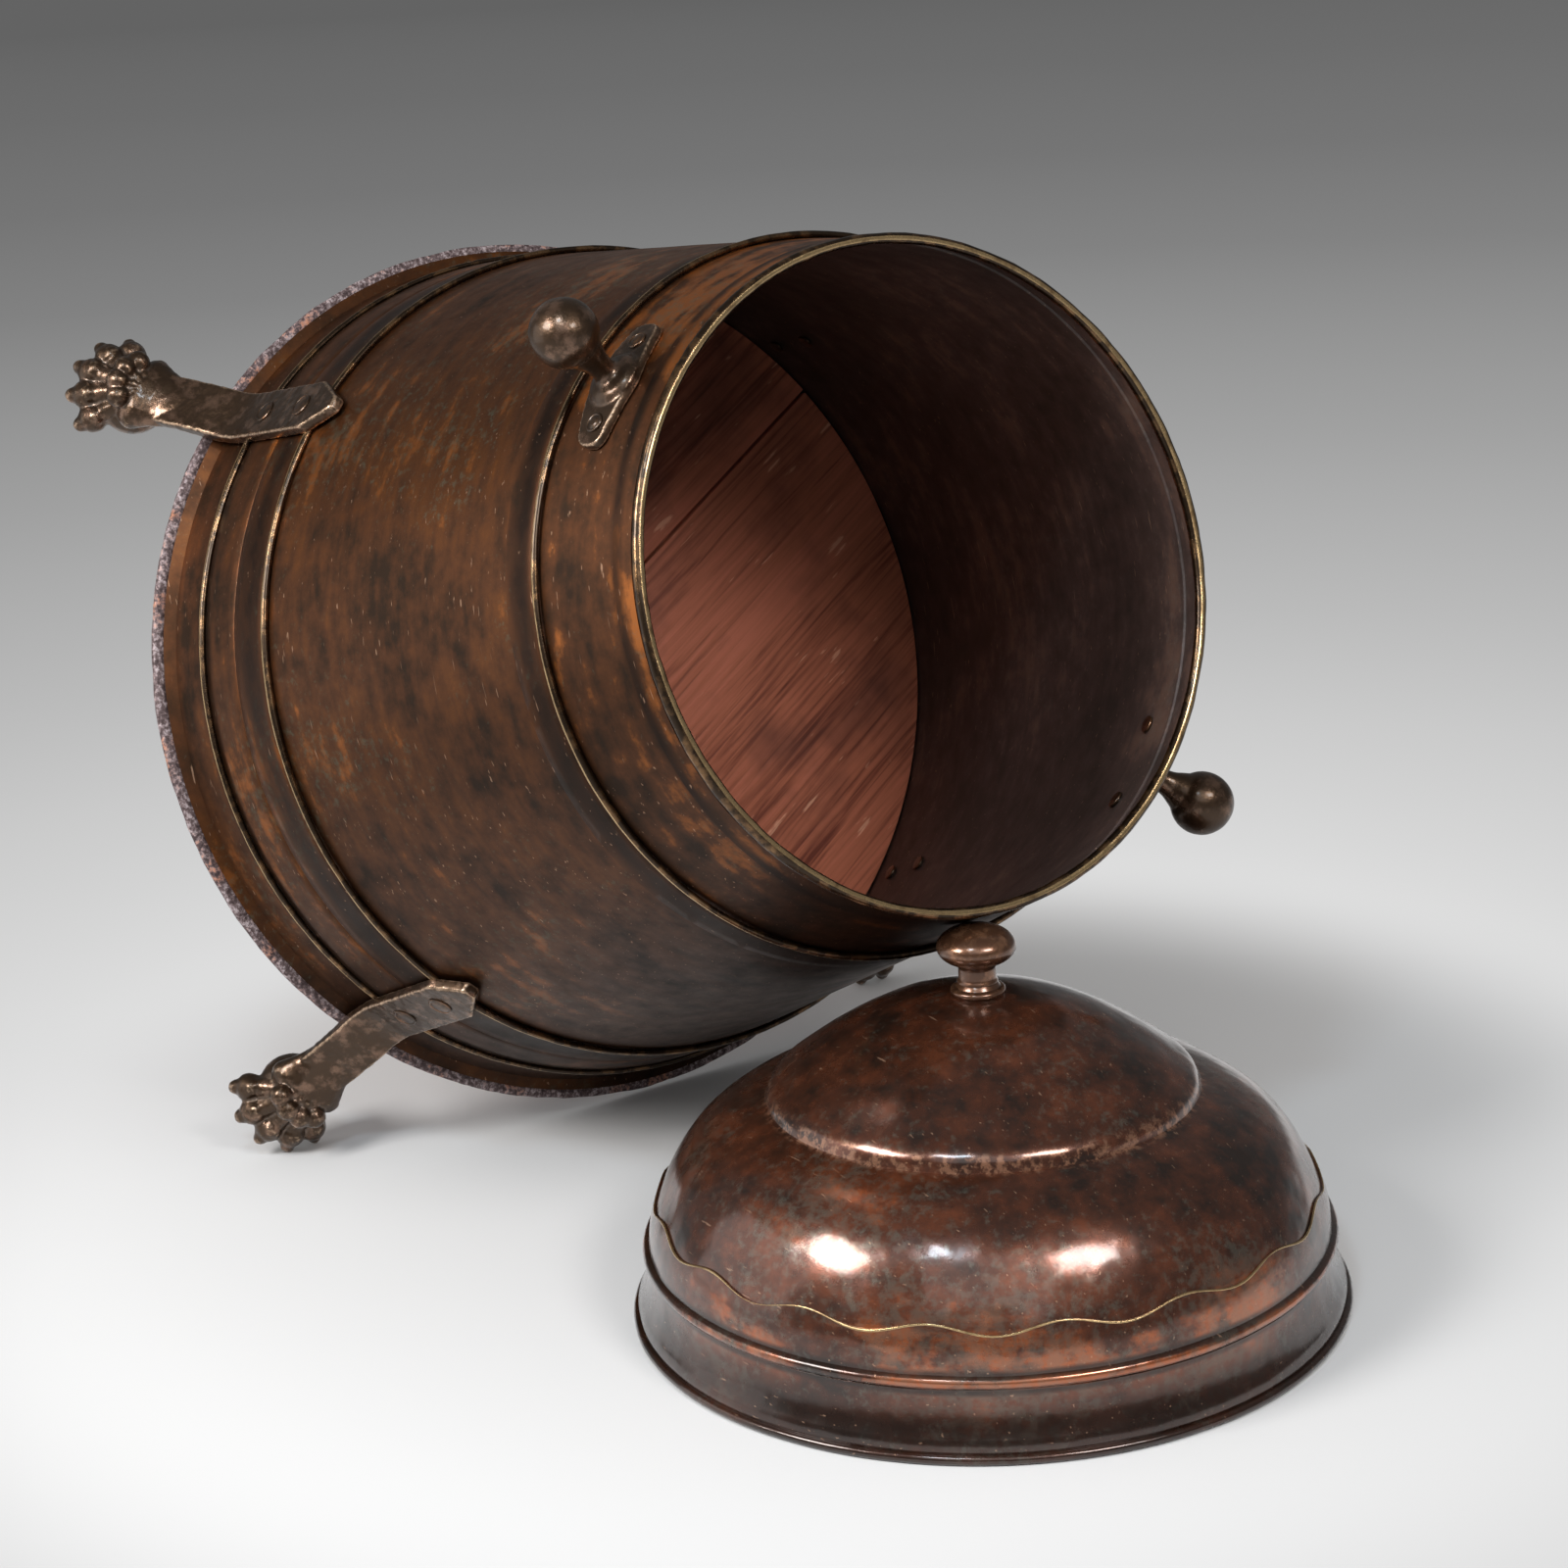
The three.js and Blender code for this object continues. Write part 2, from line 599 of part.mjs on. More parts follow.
// ----------------------------------------------------------------- ball handles
function handlePlate() {
    const reach = 1.5 * HANDLE_PLATE_HALF_HEIGHT;
    const heights = [HANDLE_HEIGHT - reach, HANDLE_HEIGHT + reach];
    const [low, high] = heights.map((z) => [wallRadius(z) + GAP, z]);
    const thick = ([r, z]) => [r + HANDLE_PLATE_THICKNESS, z];
    const hoop = turned([low, thick(low), thick(high), high], RING_SEGMENTS);

    const [a, b] = [HANDLE_PLATE_HALF_LENGTH, HANDLE_PLATE_HALF_HEIGHT];
    const lozenge = new THREE.Shape(); // widest at the neck, with rounded ends
    lozenge.moveTo(-a, 0);
    lozenge.quadraticCurveTo(-a, 0.66 * b, -0.7 * a, 0.7 * b);
    lozenge.quadraticCurveTo(-0.35 * a, 0.74 * b, 0, b);
    lozenge.quadraticCurveTo(0.35 * a, 0.74 * b, 0.7 * a, 0.7 * b);
    lozenge.quadraticCurveTo(a, 0.66 * b, a, 0);
    lozenge.quadraticCurveTo(a, -0.66 * b, 0.7 * a, -0.7 * b);
    lozenge.quadraticCurveTo(0.35 * a, -0.74 * b, 0, -b);
    lozenge.quadraticCurveTo(-0.35 * a, -0.74 * b, -0.7 * a, -0.7 * b);
    lozenge.quadraticCurveTo(-a, -0.66 * b, -a, 0);
    const outline = new THREE.ExtrudeGeometry(lozenge, {
        depth: 2 * MOUTH_RADIUS, bevelEnabled: false, curveSegments: 2,
    }).rotateX(Math.PI / 2).rotateZ(Math.PI / 2).translate(0, 0, HANDLE_HEIGHT);

    const alignedHoop = hoop.rotateZ(-radians(HANDLE_AZIMUTH)); // facets as the wall's
    return common(alignedHoop, outline);
}

function handleKnob() {
    const root = GAP + 0.5 * HANDLE_PLATE_THICKNESS;
    const neck = HANDLE_NECK_DISTANCE - root;
    const outline = [
        [0, root],
        [HANDLE_PLATE_HALF_HEIGHT - 1, root + 0.16 * neck],
        [1.2 * HANDLE_NECK_RADIUS, root + 0.55 * neck],
        [HANDLE_NECK_RADIUS, HANDLE_NECK_DISTANCE],
    ];
    const start = -radians(50); // the neck swells into the ball here
    const steps = 6;
    for (let i = 0; i <= steps; i += 1) {
        const angle = start + ((Math.PI / 2 - start) * i) / steps;
        const radius = i === steps ? 0 : HANDLE_BALL_RADIUS * Math.cos(angle);
        outline.push([radius, HANDLE_BALL_DISTANCE + HANDLE_BALL_RADIUS * Math.sin(angle)]);
    }
    return ontoWall(turned(outline, 12), HANDLE_HEIGHT, 0);
}

function handle() {
    const holes = [-1, 1].map((side) => rivetHole(HANDLE_HEIGHT, side * handleRivetTurn));
    return cut(join(handlePlate(), handleKnob()), ...holes);
}

function handles() {
    const geometry = handle();
    const stack = GAP + HANDLE_PLATE_THICKNESS;
    const meshes = [];
    handleAzimuths.forEach((azimuth, i) => {
        const mesh = named(`ball_handle_${i + 1}`, geometry, castBronze);
        mesh.rotation.z = radians(azimuth);
        meshes.push(mesh);
        for (const side of [-1, 1]) {
            const place = side < 0 ? 'left' : 'right';
            const turn = azimuth + side * handleRivetTurn;
            const solid = ontoWall(rivet(stack, HANDLE_RIVET_HEAD_RADIUS), HANDLE_HEIGHT, turn);
            meshes.push(named(`handle_${i + 1}_${place}_rivet`, solid, castBronze));
        }
    });
    return meshes;
}

// -------------------------------------------------------------------- the lid
const domeFace = [
    [DOME_EDGE_RADIUS, DOME_EDGE_HEIGHT],
    [DOME_EDGE_RADIUS, DOME_START_HEIGHT],
    ...DOME_SHOULDER,
];

function lidDome() {
    return turned(wall(domeFace, LID_SHEET), LID_SEGMENTS);
}

const skirtInner = DOME_EDGE_RADIUS + GAP;

// The skirt sweeps in and up from its rolled lip to the bead.
function lidSkirt() {
    const top = skirtInner + LID_SHEET;
    const sweep = SKIRT_SWEEP_STEPS.map((share) => [
        top + (LID_RIM_RADIUS - top) * (1 - share) ** 3,
        LIP_HEIGHT + share * (SKIRT_TOP_HEIGHT - LIP_HEIGHT),
    ]);
    const inner = sweep.slice(1).map(([r, z]) => [r - LID_SHEET, z]).reverse();
    const lipInner = LID_RIM_RADIUS - LIP_WIDTH;
    return turned([
        [LID_RIM_RADIUS, 0],
        ...sweep,
        ...inner,
        [lipInner, LIP_HEIGHT],
        [lipInner, 0],
    ], LID_SEGMENTS);
}

function lidBead() {
    const bottom = SKIRT_TOP_HEIGHT + GAP;
    const outline = [[skirtInner, bottom]];
    const steps = 3;
    for (let i = 0; i <= steps; i += 1) {
        const angle = -Math.PI / 2 + (Math.PI * i) / steps;
        outline.push([
            skirtInner + LID_SHEET + (BEAD_PROJECTION - LID_SHEET) * Math.cos(angle),
            bottom + (BEAD_HEIGHT / 2) * (1 + Math.sin(angle)),
        ]);
    }
    outline.push([skirtInner, bottom + BEAD_HEIGHT]);
    return turned(outline, LID_SEGMENTS);
}

// A thin strip on the dome whose upper edge runs in even waves.
function wavyBand() {
    const steps = WAVE_COUNT * WAVE_STEPS;
    const seat = GAP + WIRE_PLAY;
    const [middle] = DOME_SHOULDER.map(([, z]) => z);
    const levels = (angle) => {
        const phase = WAVE_COUNT * (angle - radians(WAVE_CREST_AZIMUTH));
        return [DOME_START_HEIGHT, middle, WAVY_BAND_MEAN_HEIGHT + WAVE_AMPLITUDE * Math.cos(phase)];
    };
    const positions = [];
    for (let i = 0; i < steps; i += 1) {
        const angle = (i / steps) * 2 * Math.PI;
        const inner = levels(angle).map((z) => [radiusAt(domeFace, z) + seat, z]);
        const outer = inner.map(([r, z]) => [r + WAVY_BAND_THICKNESS, z]).reverse();
        for (const [r, z] of [...inner, ...outer]) {
            positions.push(r * Math.cos(angle), r * Math.sin(angle), z);
        }
    }
    const around = 6;
    const index = [];
    for (let i = 0; i < steps; i += 1) {
        const next = (i + 1) % steps;
        for (let k = 0; k < around; k += 1) {
            const up = (k + 1) % around;
            const [a, b] = [i * around + k, i * around + up];
            const [c, d] = [next * around + up, next * around + k];
            index.push(a, b, c, a, c, d);
        }
    }
    const geometry = new THREE.BufferGeometry();
    geometry.setAttribute('position', new THREE.Float32BufferAttribute(positions, 3));
    geometry.setIndex(index);
    return closed(geometry);
}

const studHoleRadius = KNOB_STUD_RADIUS + HOLE_GAP;

// The raised crown: a beaten cap whose turned-out foot laps onto the dome.
function lidCrown() {
    const [, domeTop] = DOME_SHOULDER[DOME_SHOULDER.length - 1];
    const face = CROWN.map(([r, share]) => [r, domeTop + share * (CROWN_TOP_HEIGHT - domeTop)]);
    const [shoulderRadius] = face[0];
    const footRadius = shoulderRadius + CROWN_LAP;
    const footHeight = heightAt(domeFace, footRadius) + 2 * GAP;
    const innerHeight = heightAt(domeFace, shoulderRadius) + 2 * GAP;
    const outer = [
        [footRadius, footHeight],
        [footRadius, footHeight + LID_SHEET],
        ...face,
        [studHoleRadius, CROWN_TOP_HEIGHT],
    ];
    const inner = [
        [studHoleRadius, CROWN_TOP_HEIGHT - LID_SHEET],
        ...face.slice(1).reverse().map(([r, z]) => [r - 0.4 * LID_SHEET, z - LID_SHEET]),
        [shoulderRadius - LID_SHEET, innerHeight + LID_SHEET],
    ];
    return turned([...outer, ...inner], LID_SEGMENTS);
}

const collarBottom = CROWN_TOP_HEIGHT + GAP;
const nutTop = CROWN_TOP_HEIGHT - LID_SHEET - GAP;

function knobCollar() {
    const low = collarBottom;
    return turned([
        [studHoleRadius, low],
        [COLLAR_RADIUS - 1.4, low],
        [COLLAR_RADIUS, low + 1.6],
        [COLLAR_RADIUS - 0.6, low + 3.4],
        [KNOB_NECK_RADIUS + 1.4, low + COLLAR_HEIGHT],
        [studHoleRadius, low + COLLAR_HEIGHT],
    ], 20);
}

function lidKnob() {
    const neckBottom = collarBottom + COLLAR_HEIGHT + GAP;
    const middle = KNOB_TOP_HEIGHT - KNOB_HEIGHT / 2;
    const outline = [
        [0, nutTop - NUT_HEIGHT - STUD_BEYOND_NUT],
        [KNOB_STUD_RADIUS, nutTop - NUT_HEIGHT - STUD_BEYOND_NUT],
        [KNOB_STUD_RADIUS, neckBottom],
        [KNOB_NECK_RADIUS + 1, neckBottom],
        [KNOB_NECK_RADIUS, neckBottom + 2.5],
    ];
    const steps = 7;
    const start = -Math.acos((KNOB_NECK_RADIUS + 1) / KNOB_RADIUS);
    for (let i = 0; i <= steps; i += 1) {
        const angle = start + ((Math.PI / 2 - start) * i) / steps;
        const radius = i === steps ? 0 : KNOB_RADIUS * Math.cos(angle);
        outline.push([radius, middle + (KNOB_HEIGHT / 2) * Math.sin(angle)]);
    }
    return turned(outline, 20);
}

function knobNut() {
    const across = (radius, height, sides) => (
        new THREE.CylinderGeometry(radius, radius, height, sides).rotateX(Math.PI / 2)
    );
    return cut(across(NUT_RADIUS, NUT_HEIGHT, 6), across(studHoleRadius, 2 * NUT_HEIGHT, 12))
        .translate(0, 0, nutTop - NUT_HEIGHT / 2);
}

// ------------------------------------------------------------------- assembly
function buildBin() {
    const bin = new THREE.Group();
    bin.add(
        named('body_shell', bodyShell(), patinatedCopper),
        named('mouth_rim_wire', mouthRimWire(), wornWire),
        named('upper_band', upperBand(), patinatedCopper),
        named('upper_band_wire', bandWire(UPPER_JOINT_HEIGHT), wornWire),
        named('lower_band', lowerBand(), patinatedCopper),
        named('lower_band_top_wire', bandWire(LOWER_WIRE_TOP_HEIGHT), wornWire),
        named('lower_band_bottom_wire', bandWire(LOWER_WIRE_BOTTOM_HEIGHT), wornWire),
        named('iron_base_ring', baseRing(), ironRing),
        ...floorBoards(),
        ...feet(),
        ...handles(),
    );
    return bin;
}

function buildLid() {
    const lid = new THREE.Group();
    lid.add(
        named('lid_skirt', lidSkirt(), lidCopper),
        named('lid_seam_bead', lidBead(), lidCopper),
        named('lid_dome', lidDome(), lidCopper),
        named('lid_wavy_band', wavyBand(), lidCopper),
        named('lid_crown', lidCrown(), lidCopper),
        named('lid_knob_collar', knobCollar(), castBronze),
        named('lid_knob', lidKnob(), castBronze),
        named('lid_knob_nut', knobNut(), castBronze),
    );
    return lid;
}

function lowestPoint(object) {
    return new THREE.Box3().setFromObject(object, true).min.z;
}

// Lays the bin back with its axis at an elevation and its lowest paws on the floor.
function tipBin(bin, elevation) {
    bin.rotation.y = Math.PI / 2 - elevation;
    bin.position.set(0, 0, 0);
    bin.updateMatrixWorld(true);
    const feetOnly = bin.children.filter((child) => child.name.startsWith('paw_foot'));
    const floor = Math.min(...feetOnly.map(lowestPoint));
    bin.position.z = -floor;
    bin.updateMatrixWorld(true);
}

// Finds the tilt at which the rim wire clears the knob's top by the usual gap.
function settleBin(bin) {
    const halvings = 24;
    const target = KNOB_TOP_HEIGHT + GAP;
    const rim = bin.getObjectByName('mouth_rim_wire');
    const wallMesh = bin.getObjectByName('body_shell');
    let [low, high] = [0, radians(STEEPEST_TILT)];
    for (let i = 0; i < halvings; i += 1) {
        const middle = (low + high) / 2;
        tipBin(bin, middle);
        if (clearanceOverKnob(rim, wallMesh) < target) low = middle;
        else high = middle;
    }
}

function knobPlace(rim) {
    const low = lowestVertex(rim);
    return [low.x - KNOB_BEHIND_RIM, low.y - LID_OFF_MIDDLE];
}

// Lowest height of the bin over the patch that the knob stands under, measured as
// if the knob's top were flat.
function clearanceOverKnob(rim, wallMesh) {
    const [x, y] = knobPlace(rim);
    const shares = [0, 0.35, 0.6]; // of the knob's radius
    const around = 12;
    const ray = new THREE.Raycaster();
    const up = new THREE.Vector3(0, 0, 1);
    let lowest = Infinity;
    for (const share of shares) {
        const drop = (KNOB_HEIGHT / 2) * (1 - Math.sqrt(1 - share * share));
        for (let k = 0; k < around; k += 1) {
            const angle = (k / around) * 2 * Math.PI;
            const reach = KNOB_RADIUS * share;
            const start = new THREE.Vector3(x + reach * Math.cos(angle), y + reach * Math.sin(angle), -FAR);
            ray.set(start, up);
            const hits = ray.intersectObjects([rim, wallMesh], false);
            if (hits.length > 0) lowest = Math.min(lowest, hits[0].point.z + drop);
        }
    }
    return lowest;
}

function lowestVertex(mesh) {
    const point = new THREE.Vector3();
    const lowest = new THREE.Vector3(0, 0, Infinity);
    const positions = mesh.geometry.attributes.position;
    for (let i = 0; i < positions.count; i += 1) {
        point.fromBufferAttribute(positions, i).applyMatrix4(mesh.matrixWorld);
        if (point.z < lowest.z) lowest.copy(point);
    }
    return lowest;
}

const bin = buildBin();
settleBin(bin);

const lid = buildLid();
lid.position.set(...knobPlace(bin.getObjectByName('mouth_rim_wire')), 0);

const scuttle = new THREE.Group();
scuttle.add(bin, lid);
scuttle.updateMatrixWorld(true);
const extent = new THREE.Box3().setFromObject(scuttle, true);
const centre = extent.getCenter(new THREE.Vector3());
scuttle.position.set(-centre.x, -centre.y, -extent.min.z);
scuttle.updateMatrixWorld(true);

export default scuttle;
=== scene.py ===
"""Looks of a coal scuttle: a patinated copper bin on paw feet, and its loose domed lid.

Each piece is modelled upright on its own axis and then laid, in its mesh, where the
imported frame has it. Sizes are written in millimetres and turned to metres by MM, and
heights are above the piece's own foot. The small offsets inside an outline are the
roundings, steps and grooves of that piece, as the photograph shows them.
"""

from __future__ import annotations

import logging
import math
from collections.abc import Callable, Sequence
from dataclasses import dataclass
from enum import Enum
from functools import partial

import bpy
from bpy.types import Material, Node, NodeSocket, NodeTree, Object
from mathutils import Matrix, Quaternion, Vector

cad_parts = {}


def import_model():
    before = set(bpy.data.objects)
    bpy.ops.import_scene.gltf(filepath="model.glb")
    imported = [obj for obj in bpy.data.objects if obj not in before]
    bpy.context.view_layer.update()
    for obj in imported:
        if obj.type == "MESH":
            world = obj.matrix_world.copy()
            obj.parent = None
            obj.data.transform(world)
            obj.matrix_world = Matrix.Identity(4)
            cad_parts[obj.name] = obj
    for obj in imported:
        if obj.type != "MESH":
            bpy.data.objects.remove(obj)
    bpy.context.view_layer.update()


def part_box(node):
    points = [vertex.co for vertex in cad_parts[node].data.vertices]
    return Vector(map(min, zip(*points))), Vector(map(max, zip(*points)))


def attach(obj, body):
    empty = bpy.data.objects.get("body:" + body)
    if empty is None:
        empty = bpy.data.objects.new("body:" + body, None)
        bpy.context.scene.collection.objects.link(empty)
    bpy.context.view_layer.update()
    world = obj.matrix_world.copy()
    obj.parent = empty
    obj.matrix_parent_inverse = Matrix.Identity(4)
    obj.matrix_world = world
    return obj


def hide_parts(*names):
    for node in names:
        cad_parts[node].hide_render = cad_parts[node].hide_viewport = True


LOG = logging.getLogger("coal_scuttle")
MM = 0.001
GAP = 0.3  # between pieces that seat on each other, as in the frame
SAME_POINT = 0.005  # points of a mesh that lie closer than this are merged
LAMP_AIM = 70  # what the lamps face is this high over the lid's rim
Point = tuple[float, float]
Outline = Sequence[Point]
Colour = tuple[float, float, float, float]
AddNode = Callable[..., Node]


class Body(Enum):
    """The bodies of the frame that a piece can ride on."""

    SCUTTLE = "scuttle"
    LID = "lid"


class Slot(Enum):
    """The material slots."""

    BIN_COPPER = "bin_copper"
    LID_COPPER = "lid_copper"
    WORN_WIRE = "worn_wire"
    CAST_BRONZE = "cast_bronze"
    KNOB_BRASS = "knob_brass"
    FORGED_IRON = "forged_iron"
    BOARD_WOOD = "board_wood"


# ------------------------------------------------------------------ outlines
def straight(points: Outline, longest: float) -> list[Point]:
    """Divides an outline's straight stretches.

    Args:
        points: (radius, height) corners in mm.
        longest: the longest stretch to leave, in mm.

    Returns:
        The outline with points added between its corners.
    """
    line = [points[0]]
    for (r0, z0), (r1, z1) in zip(points, points[1:]):
        steps = max(1, math.ceil(math.dist((r0, z0), (r1, z1)) / longest))
        counts = range(1, steps + 1)
        line += [(r0 + (r1 - r0) * i / steps, z0 + (z1 - z0) * i / steps) for i in counts]
    return line


def spline(a: float, b: float, c: float, d: float, t: float) -> float:
    """Value at a share t of the way from b to c, on a smooth curve through a, b, c and d."""
    return 0.5 * (
        2 * b + (c - a) * t + (2 * a - 5 * b + 4 * c - d) * t**2 + (3 * b - a - 3 * c + d) * t**3
    )


def flowing(points: Outline, steps: int = 6) -> list[Point]:
    """Draws one smooth curve through an outline's points.

    Args:
        points: (radius, height) points in mm that the curve passes through.
        steps: points to add for each stretch.

    Returns:
        The curve's points.
    """
    ends = [points[0], *points, points[-1]]
    line = [points[0]]
    for near in zip(ends, ends[1:], ends[2:], ends[3:]):
        for i in range(1, steps + 1):
            line.append(tuple(spline(*four, i / steps) for four in zip(*near)))
    return line


def arc(centre: Point, radius: float, start: float, stop: float, steps: int) -> list[Point]:
    """Points on an arc.

    Args:
        centre: the arc's middle, in mm.
        radius: its radius, in mm.
        start: angle of the first point, in degrees.
        stop: angle of the last point, in degrees.
        steps: number of stretches between points.

    Returns:
        The arc's points, both ends with them.
    """
    angles = [math.radians(start + (stop - start) * i / steps) for i in range(steps + 1)]
    return [(centre[0] + radius * math.cos(a), centre[1] + radius * math.sin(a)) for a in angles]


def swing(start: Point, pull: Point, stop: Point, steps: int = 8) -> list[Point]:
    """A curve from start to stop that leans towards pull, without its first point."""
    axes = list(zip(start, pull, stop))
    shares = [i / steps for i in range(1, steps + 1)]
    return [
        tuple((1 - t) ** 2 * a + 2 * t * (1 - t) * b + t**2 * c for a, b, c in axes) for t in shares
    ]


def radius_at(face: Outline, height: float) -> float:
    """Radius of a face, given from bottom to top, at a height, all in mm."""
    for (r0, z0), (r1, z1) in zip(face, face[1:]):
        if z0 <= height <= z1:
            return r0 + (r1 - r0) * (height - z0) / (z1 - z0)
    return face[0][0] if height < face[0][1] else face[-1][0]


# ------------------------------------------------------------------ modelling
def select_only(piece: Object) -> None:
    """Makes a piece the only selected and active one."""
    bpy.ops.object.select_all(action="DESELECT")
    piece.select_set(True)
    bpy.context.view_layer.objects.active = piece


def begin(name: str) -> Object:
    """Starts a mesh as one point at the origin, in edit mode, with the point selected."""
    bpy.ops.object.select_all(action="DESELECT")
    bpy.ops.mesh.primitive_plane_add(size=MM, location=(0, 0, 0))
    piece = bpy.context.object
    piece.name = piece.data.name = name
    bpy.ops.object.mode_set(mode="EDIT")
    bpy.ops.mesh.merge(type="CENTER")
    return piece


def draw(points: Sequence[Vector]) -> None:
    """Moves the selected point to the first of some points and extrudes it through the rest."""
    place = Vector()
    for number, point in enumerate(points):
        step = point - place
        if number == 0:
            bpy.ops.transform.translate(value=step)
        else:
            bpy.ops.mesh.extrude_region_move(TRANSFORM_OT_translate={"value": step})
        place = point


def tidy_mesh() -> None:
    """Merges doubles, turns the faces outwards and leaves edit mode."""
    bpy.ops.mesh.select_all(action="SELECT")
    bpy.ops.mesh.remove_doubles(threshold=SAME_POINT * MM)
    bpy.ops.mesh.normals_make_consistent(inside=False)
    bpy.ops.object.mode_set(mode="OBJECT")


def lathe(name: str, outline: Outline, segments: int, closed: bool = False) -> Object:
    """Turns an outline about the Z axis.

    Args:
        name: the new object's name.
        outline: (radius, height) points in mm.
        segments: faces round the axis.
        closed: whether the outline runs back to its first point.

    Returns:
        The turned piece.
    """
    piece = begin(name)
    line = [*outline, outline[0]] if closed else outline
    draw([Vector((r, 0, z)) * MM for r, z in line])
    bpy.ops.mesh.select_all(action="SELECT")
    bpy.ops.mesh.spin(steps=segments, angle=math.tau, center=(0, 0, 0), axis=(0, 0, 1))
    tidy_mesh()
    return piece


def slab(name: str, outline: Outline, width: float) -> Object:
    """Cuts a flat plate to an outline.

    Args:
        name: the new object's name.
        outline: (x, z) corners in mm.
        width: the plate's thickness along Y, in mm; it is centred on Y = 0.

    Returns:
        The plate.
    """
    piece = begin(name)
    half = width / 2 * MM
    draw([Vector((x * MM, -half, z * MM)) for x, z in outline])
    bpy.ops.mesh.select_all(action="SELECT")
    bpy.ops.mesh.edge_face_add()
    bpy.ops.mesh.extrude_region_move(TRANSFORM_OT_translate={"value": (0, 2 * half, 0)})
    tidy_mesh()
    return piece


def disc(name: str, corners: int, radius: float, bottom: float, thickness: float) -> Object:
    """Makes a disc, or a flat prism, about the Z axis.

    Args:
        name: the new object's name.
        corners: corners of its outline.
        radius: from the axis to a corner, in mm.
        bottom: height of its lower face, in mm.
        thickness: from its lower face to its upper one, in mm.

    Returns:
        The disc.
    """
    bpy.ops.object.select_all(action="DESELECT")
    bpy.ops.mesh.primitive_cylinder_add(
        vertices=corners,
        radius=radius * MM,
        depth=thickness * MM,
        location=(0, 0, (bottom + thickness / 2) * MM),
    )
    piece = bpy.context.object
    piece.name = piece.data.name = name
    bpy.ops.object.transform_apply(location=True, rotation=False, scale=False)
    return piece


def saw(piece: Object, point: Vector, outwards: Vector) -> None:
    """Saws off what lies beyond a plane and closes the cut.

    Args:
        piece: the piece to saw.
        point: a point of the plane, in metres.
        outwards: the plane's normal, towards the waste.
    """
    select_only(piece)
    bpy.ops.object.mode_set(mode="EDIT")
    bpy.ops.mesh.select_all(action="SELECT")
    bpy.ops.mesh.bisect(plane_co=point, plane_no=outwards, use_fill=True, clear_outer=True)
    tidy_mesh()


def apply_modifier(piece: Object, kind: str, **settings: object) -> None:
    """Adds a modifier with its settings and applies it."""
    modifier = piece.modifiers.new(kind.title(), kind)
    for name, value in settings.items():
        setattr(modifier, name, value)
    select_only(piece)
    bpy.ops.object.modifier_apply(modifier=modifier.name)


def beat(piece: Object, *dents: Point) -> None:
    """Gives a surface the unevenness of hand work.

    Args:
        piece: the piece to work.
        dents: kinds of dents, each with its size across and with its height, from the
            deepest dent to the highest bump, in mm.
    """
    space = {"texture_coords": "LOCAL", "mid_level": 0.5}
    for grain, height in dents:
        texture = bpy.data.textures.new(f"dents_{grain:g}_mm", "CLOUDS")
        texture.noise_scale = grain * MM
        texture.noise_depth = 1
        apply_modifier(piece, "DISPLACE", texture=texture, strength=height * MM, **space)


def weld_castings(piece: Object, voxel: float, passes: int) -> None:
    """Runs overlapping solids together into one smooth casting.

    Args:
        piece: the overlapping solids, as one object.
        voxel: size of the new skin's faces, in mm.
        passes: how often the skin is smoothed.
    """
    apply_modifier(piece, "REMESH", mode="VOXEL", voxel_size=voxel * MM)
    apply_modifier(piece, "SMOOTH", factor=0.5, iterations=passes)


def ease_edges(piece: Object, width: float, angle: float = 30) -> None:
    """Rounds the edges of a piece.

    Args:
        piece: the piece.
        width: how wide the rounding is, in mm.
        angle: edges that are flatter than this stay as they are, in degrees.
    """
    limit = math.radians(angle)
    apply_modifier(
        piece, "BEVEL", width=width * MM, segments=3, limit_method="ANGLE", angle_limit=limit
    )


def join(piece: Object, *others: Object) -> Object:
    """Joins other pieces into the first."""
    select_only(piece)
    for other in others:
        other.select_set(True)
    bpy.ops.object.join()
    return piece


def twin(piece: Object, name: str) -> Object:
    """A copy of a piece with its own mesh."""
    copy = piece.copy()
    copy.data = piece.data.copy()
    copy.name = copy.data.name = name
    bpy.context.collection.objects.link(copy)
    return copy


def turn(azimuth: float) -> Matrix:
    """A turn about the Z axis, in degrees."""
    return Matrix.Rotation(math.radians(azimuth), 4, "Z")


@dataclass(frozen=True)
class Berth:
    """Where a sub-assembly's upright pieces go, and the body that carries them."""

    body: Body
    place: Matrix

    def lay(
        self,
        piece: Object,
        node: str | None,
        material: Material,
        slot: Slot,
        crease: float = 35,
        azimuth: float = 0,
    ) -> Object:
        """Finishes a piece: its place, its material, its shading and its body.

        Args:
            piece: the piece, upright.
            node: the frame's node that it stands for, if there is one.
            material: its finish, unless it has one already.
            slot: the slot for that finish; not used.
            crease: faces that meet at a sharper angle than this stay crisp, in degrees.
            azimuth: the turn about the upright axis that comes first, in degrees.

        Returns:
            The same piece.
        """
        piece.data.transform(self.place @ turn(azimuth))
        piece.data.update()
        if not piece.data.materials:
            piece.data.materials.append(material)
        select_only(piece)
        bpy.ops.object.shade_smooth_by_angle(angle=math.radians(crease))
        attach(piece, self.body.value)
        if node:
            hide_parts(node)
        LOG.info("%s: %d faces", piece.name, len(piece.data.polygons))
        return piece


# ------------------------------------------------------------------ finishes
def colour(code: str) -> Colour:
    """Turns an sRGB hex code into a linear colour."""
    shares = [int(code[i : i + 2], 16) / 255 for i in (1, 3, 5)]
    linear = [c / 12.92 if c <= 0.04045 else ((c + 0.055) / 1.055) ** 2.4 for c in shares]
    return (*linear, 1.0)


def grey(share: float) -> Colour:
    """A linear grey."""
    return (share, share, share, 1.0)


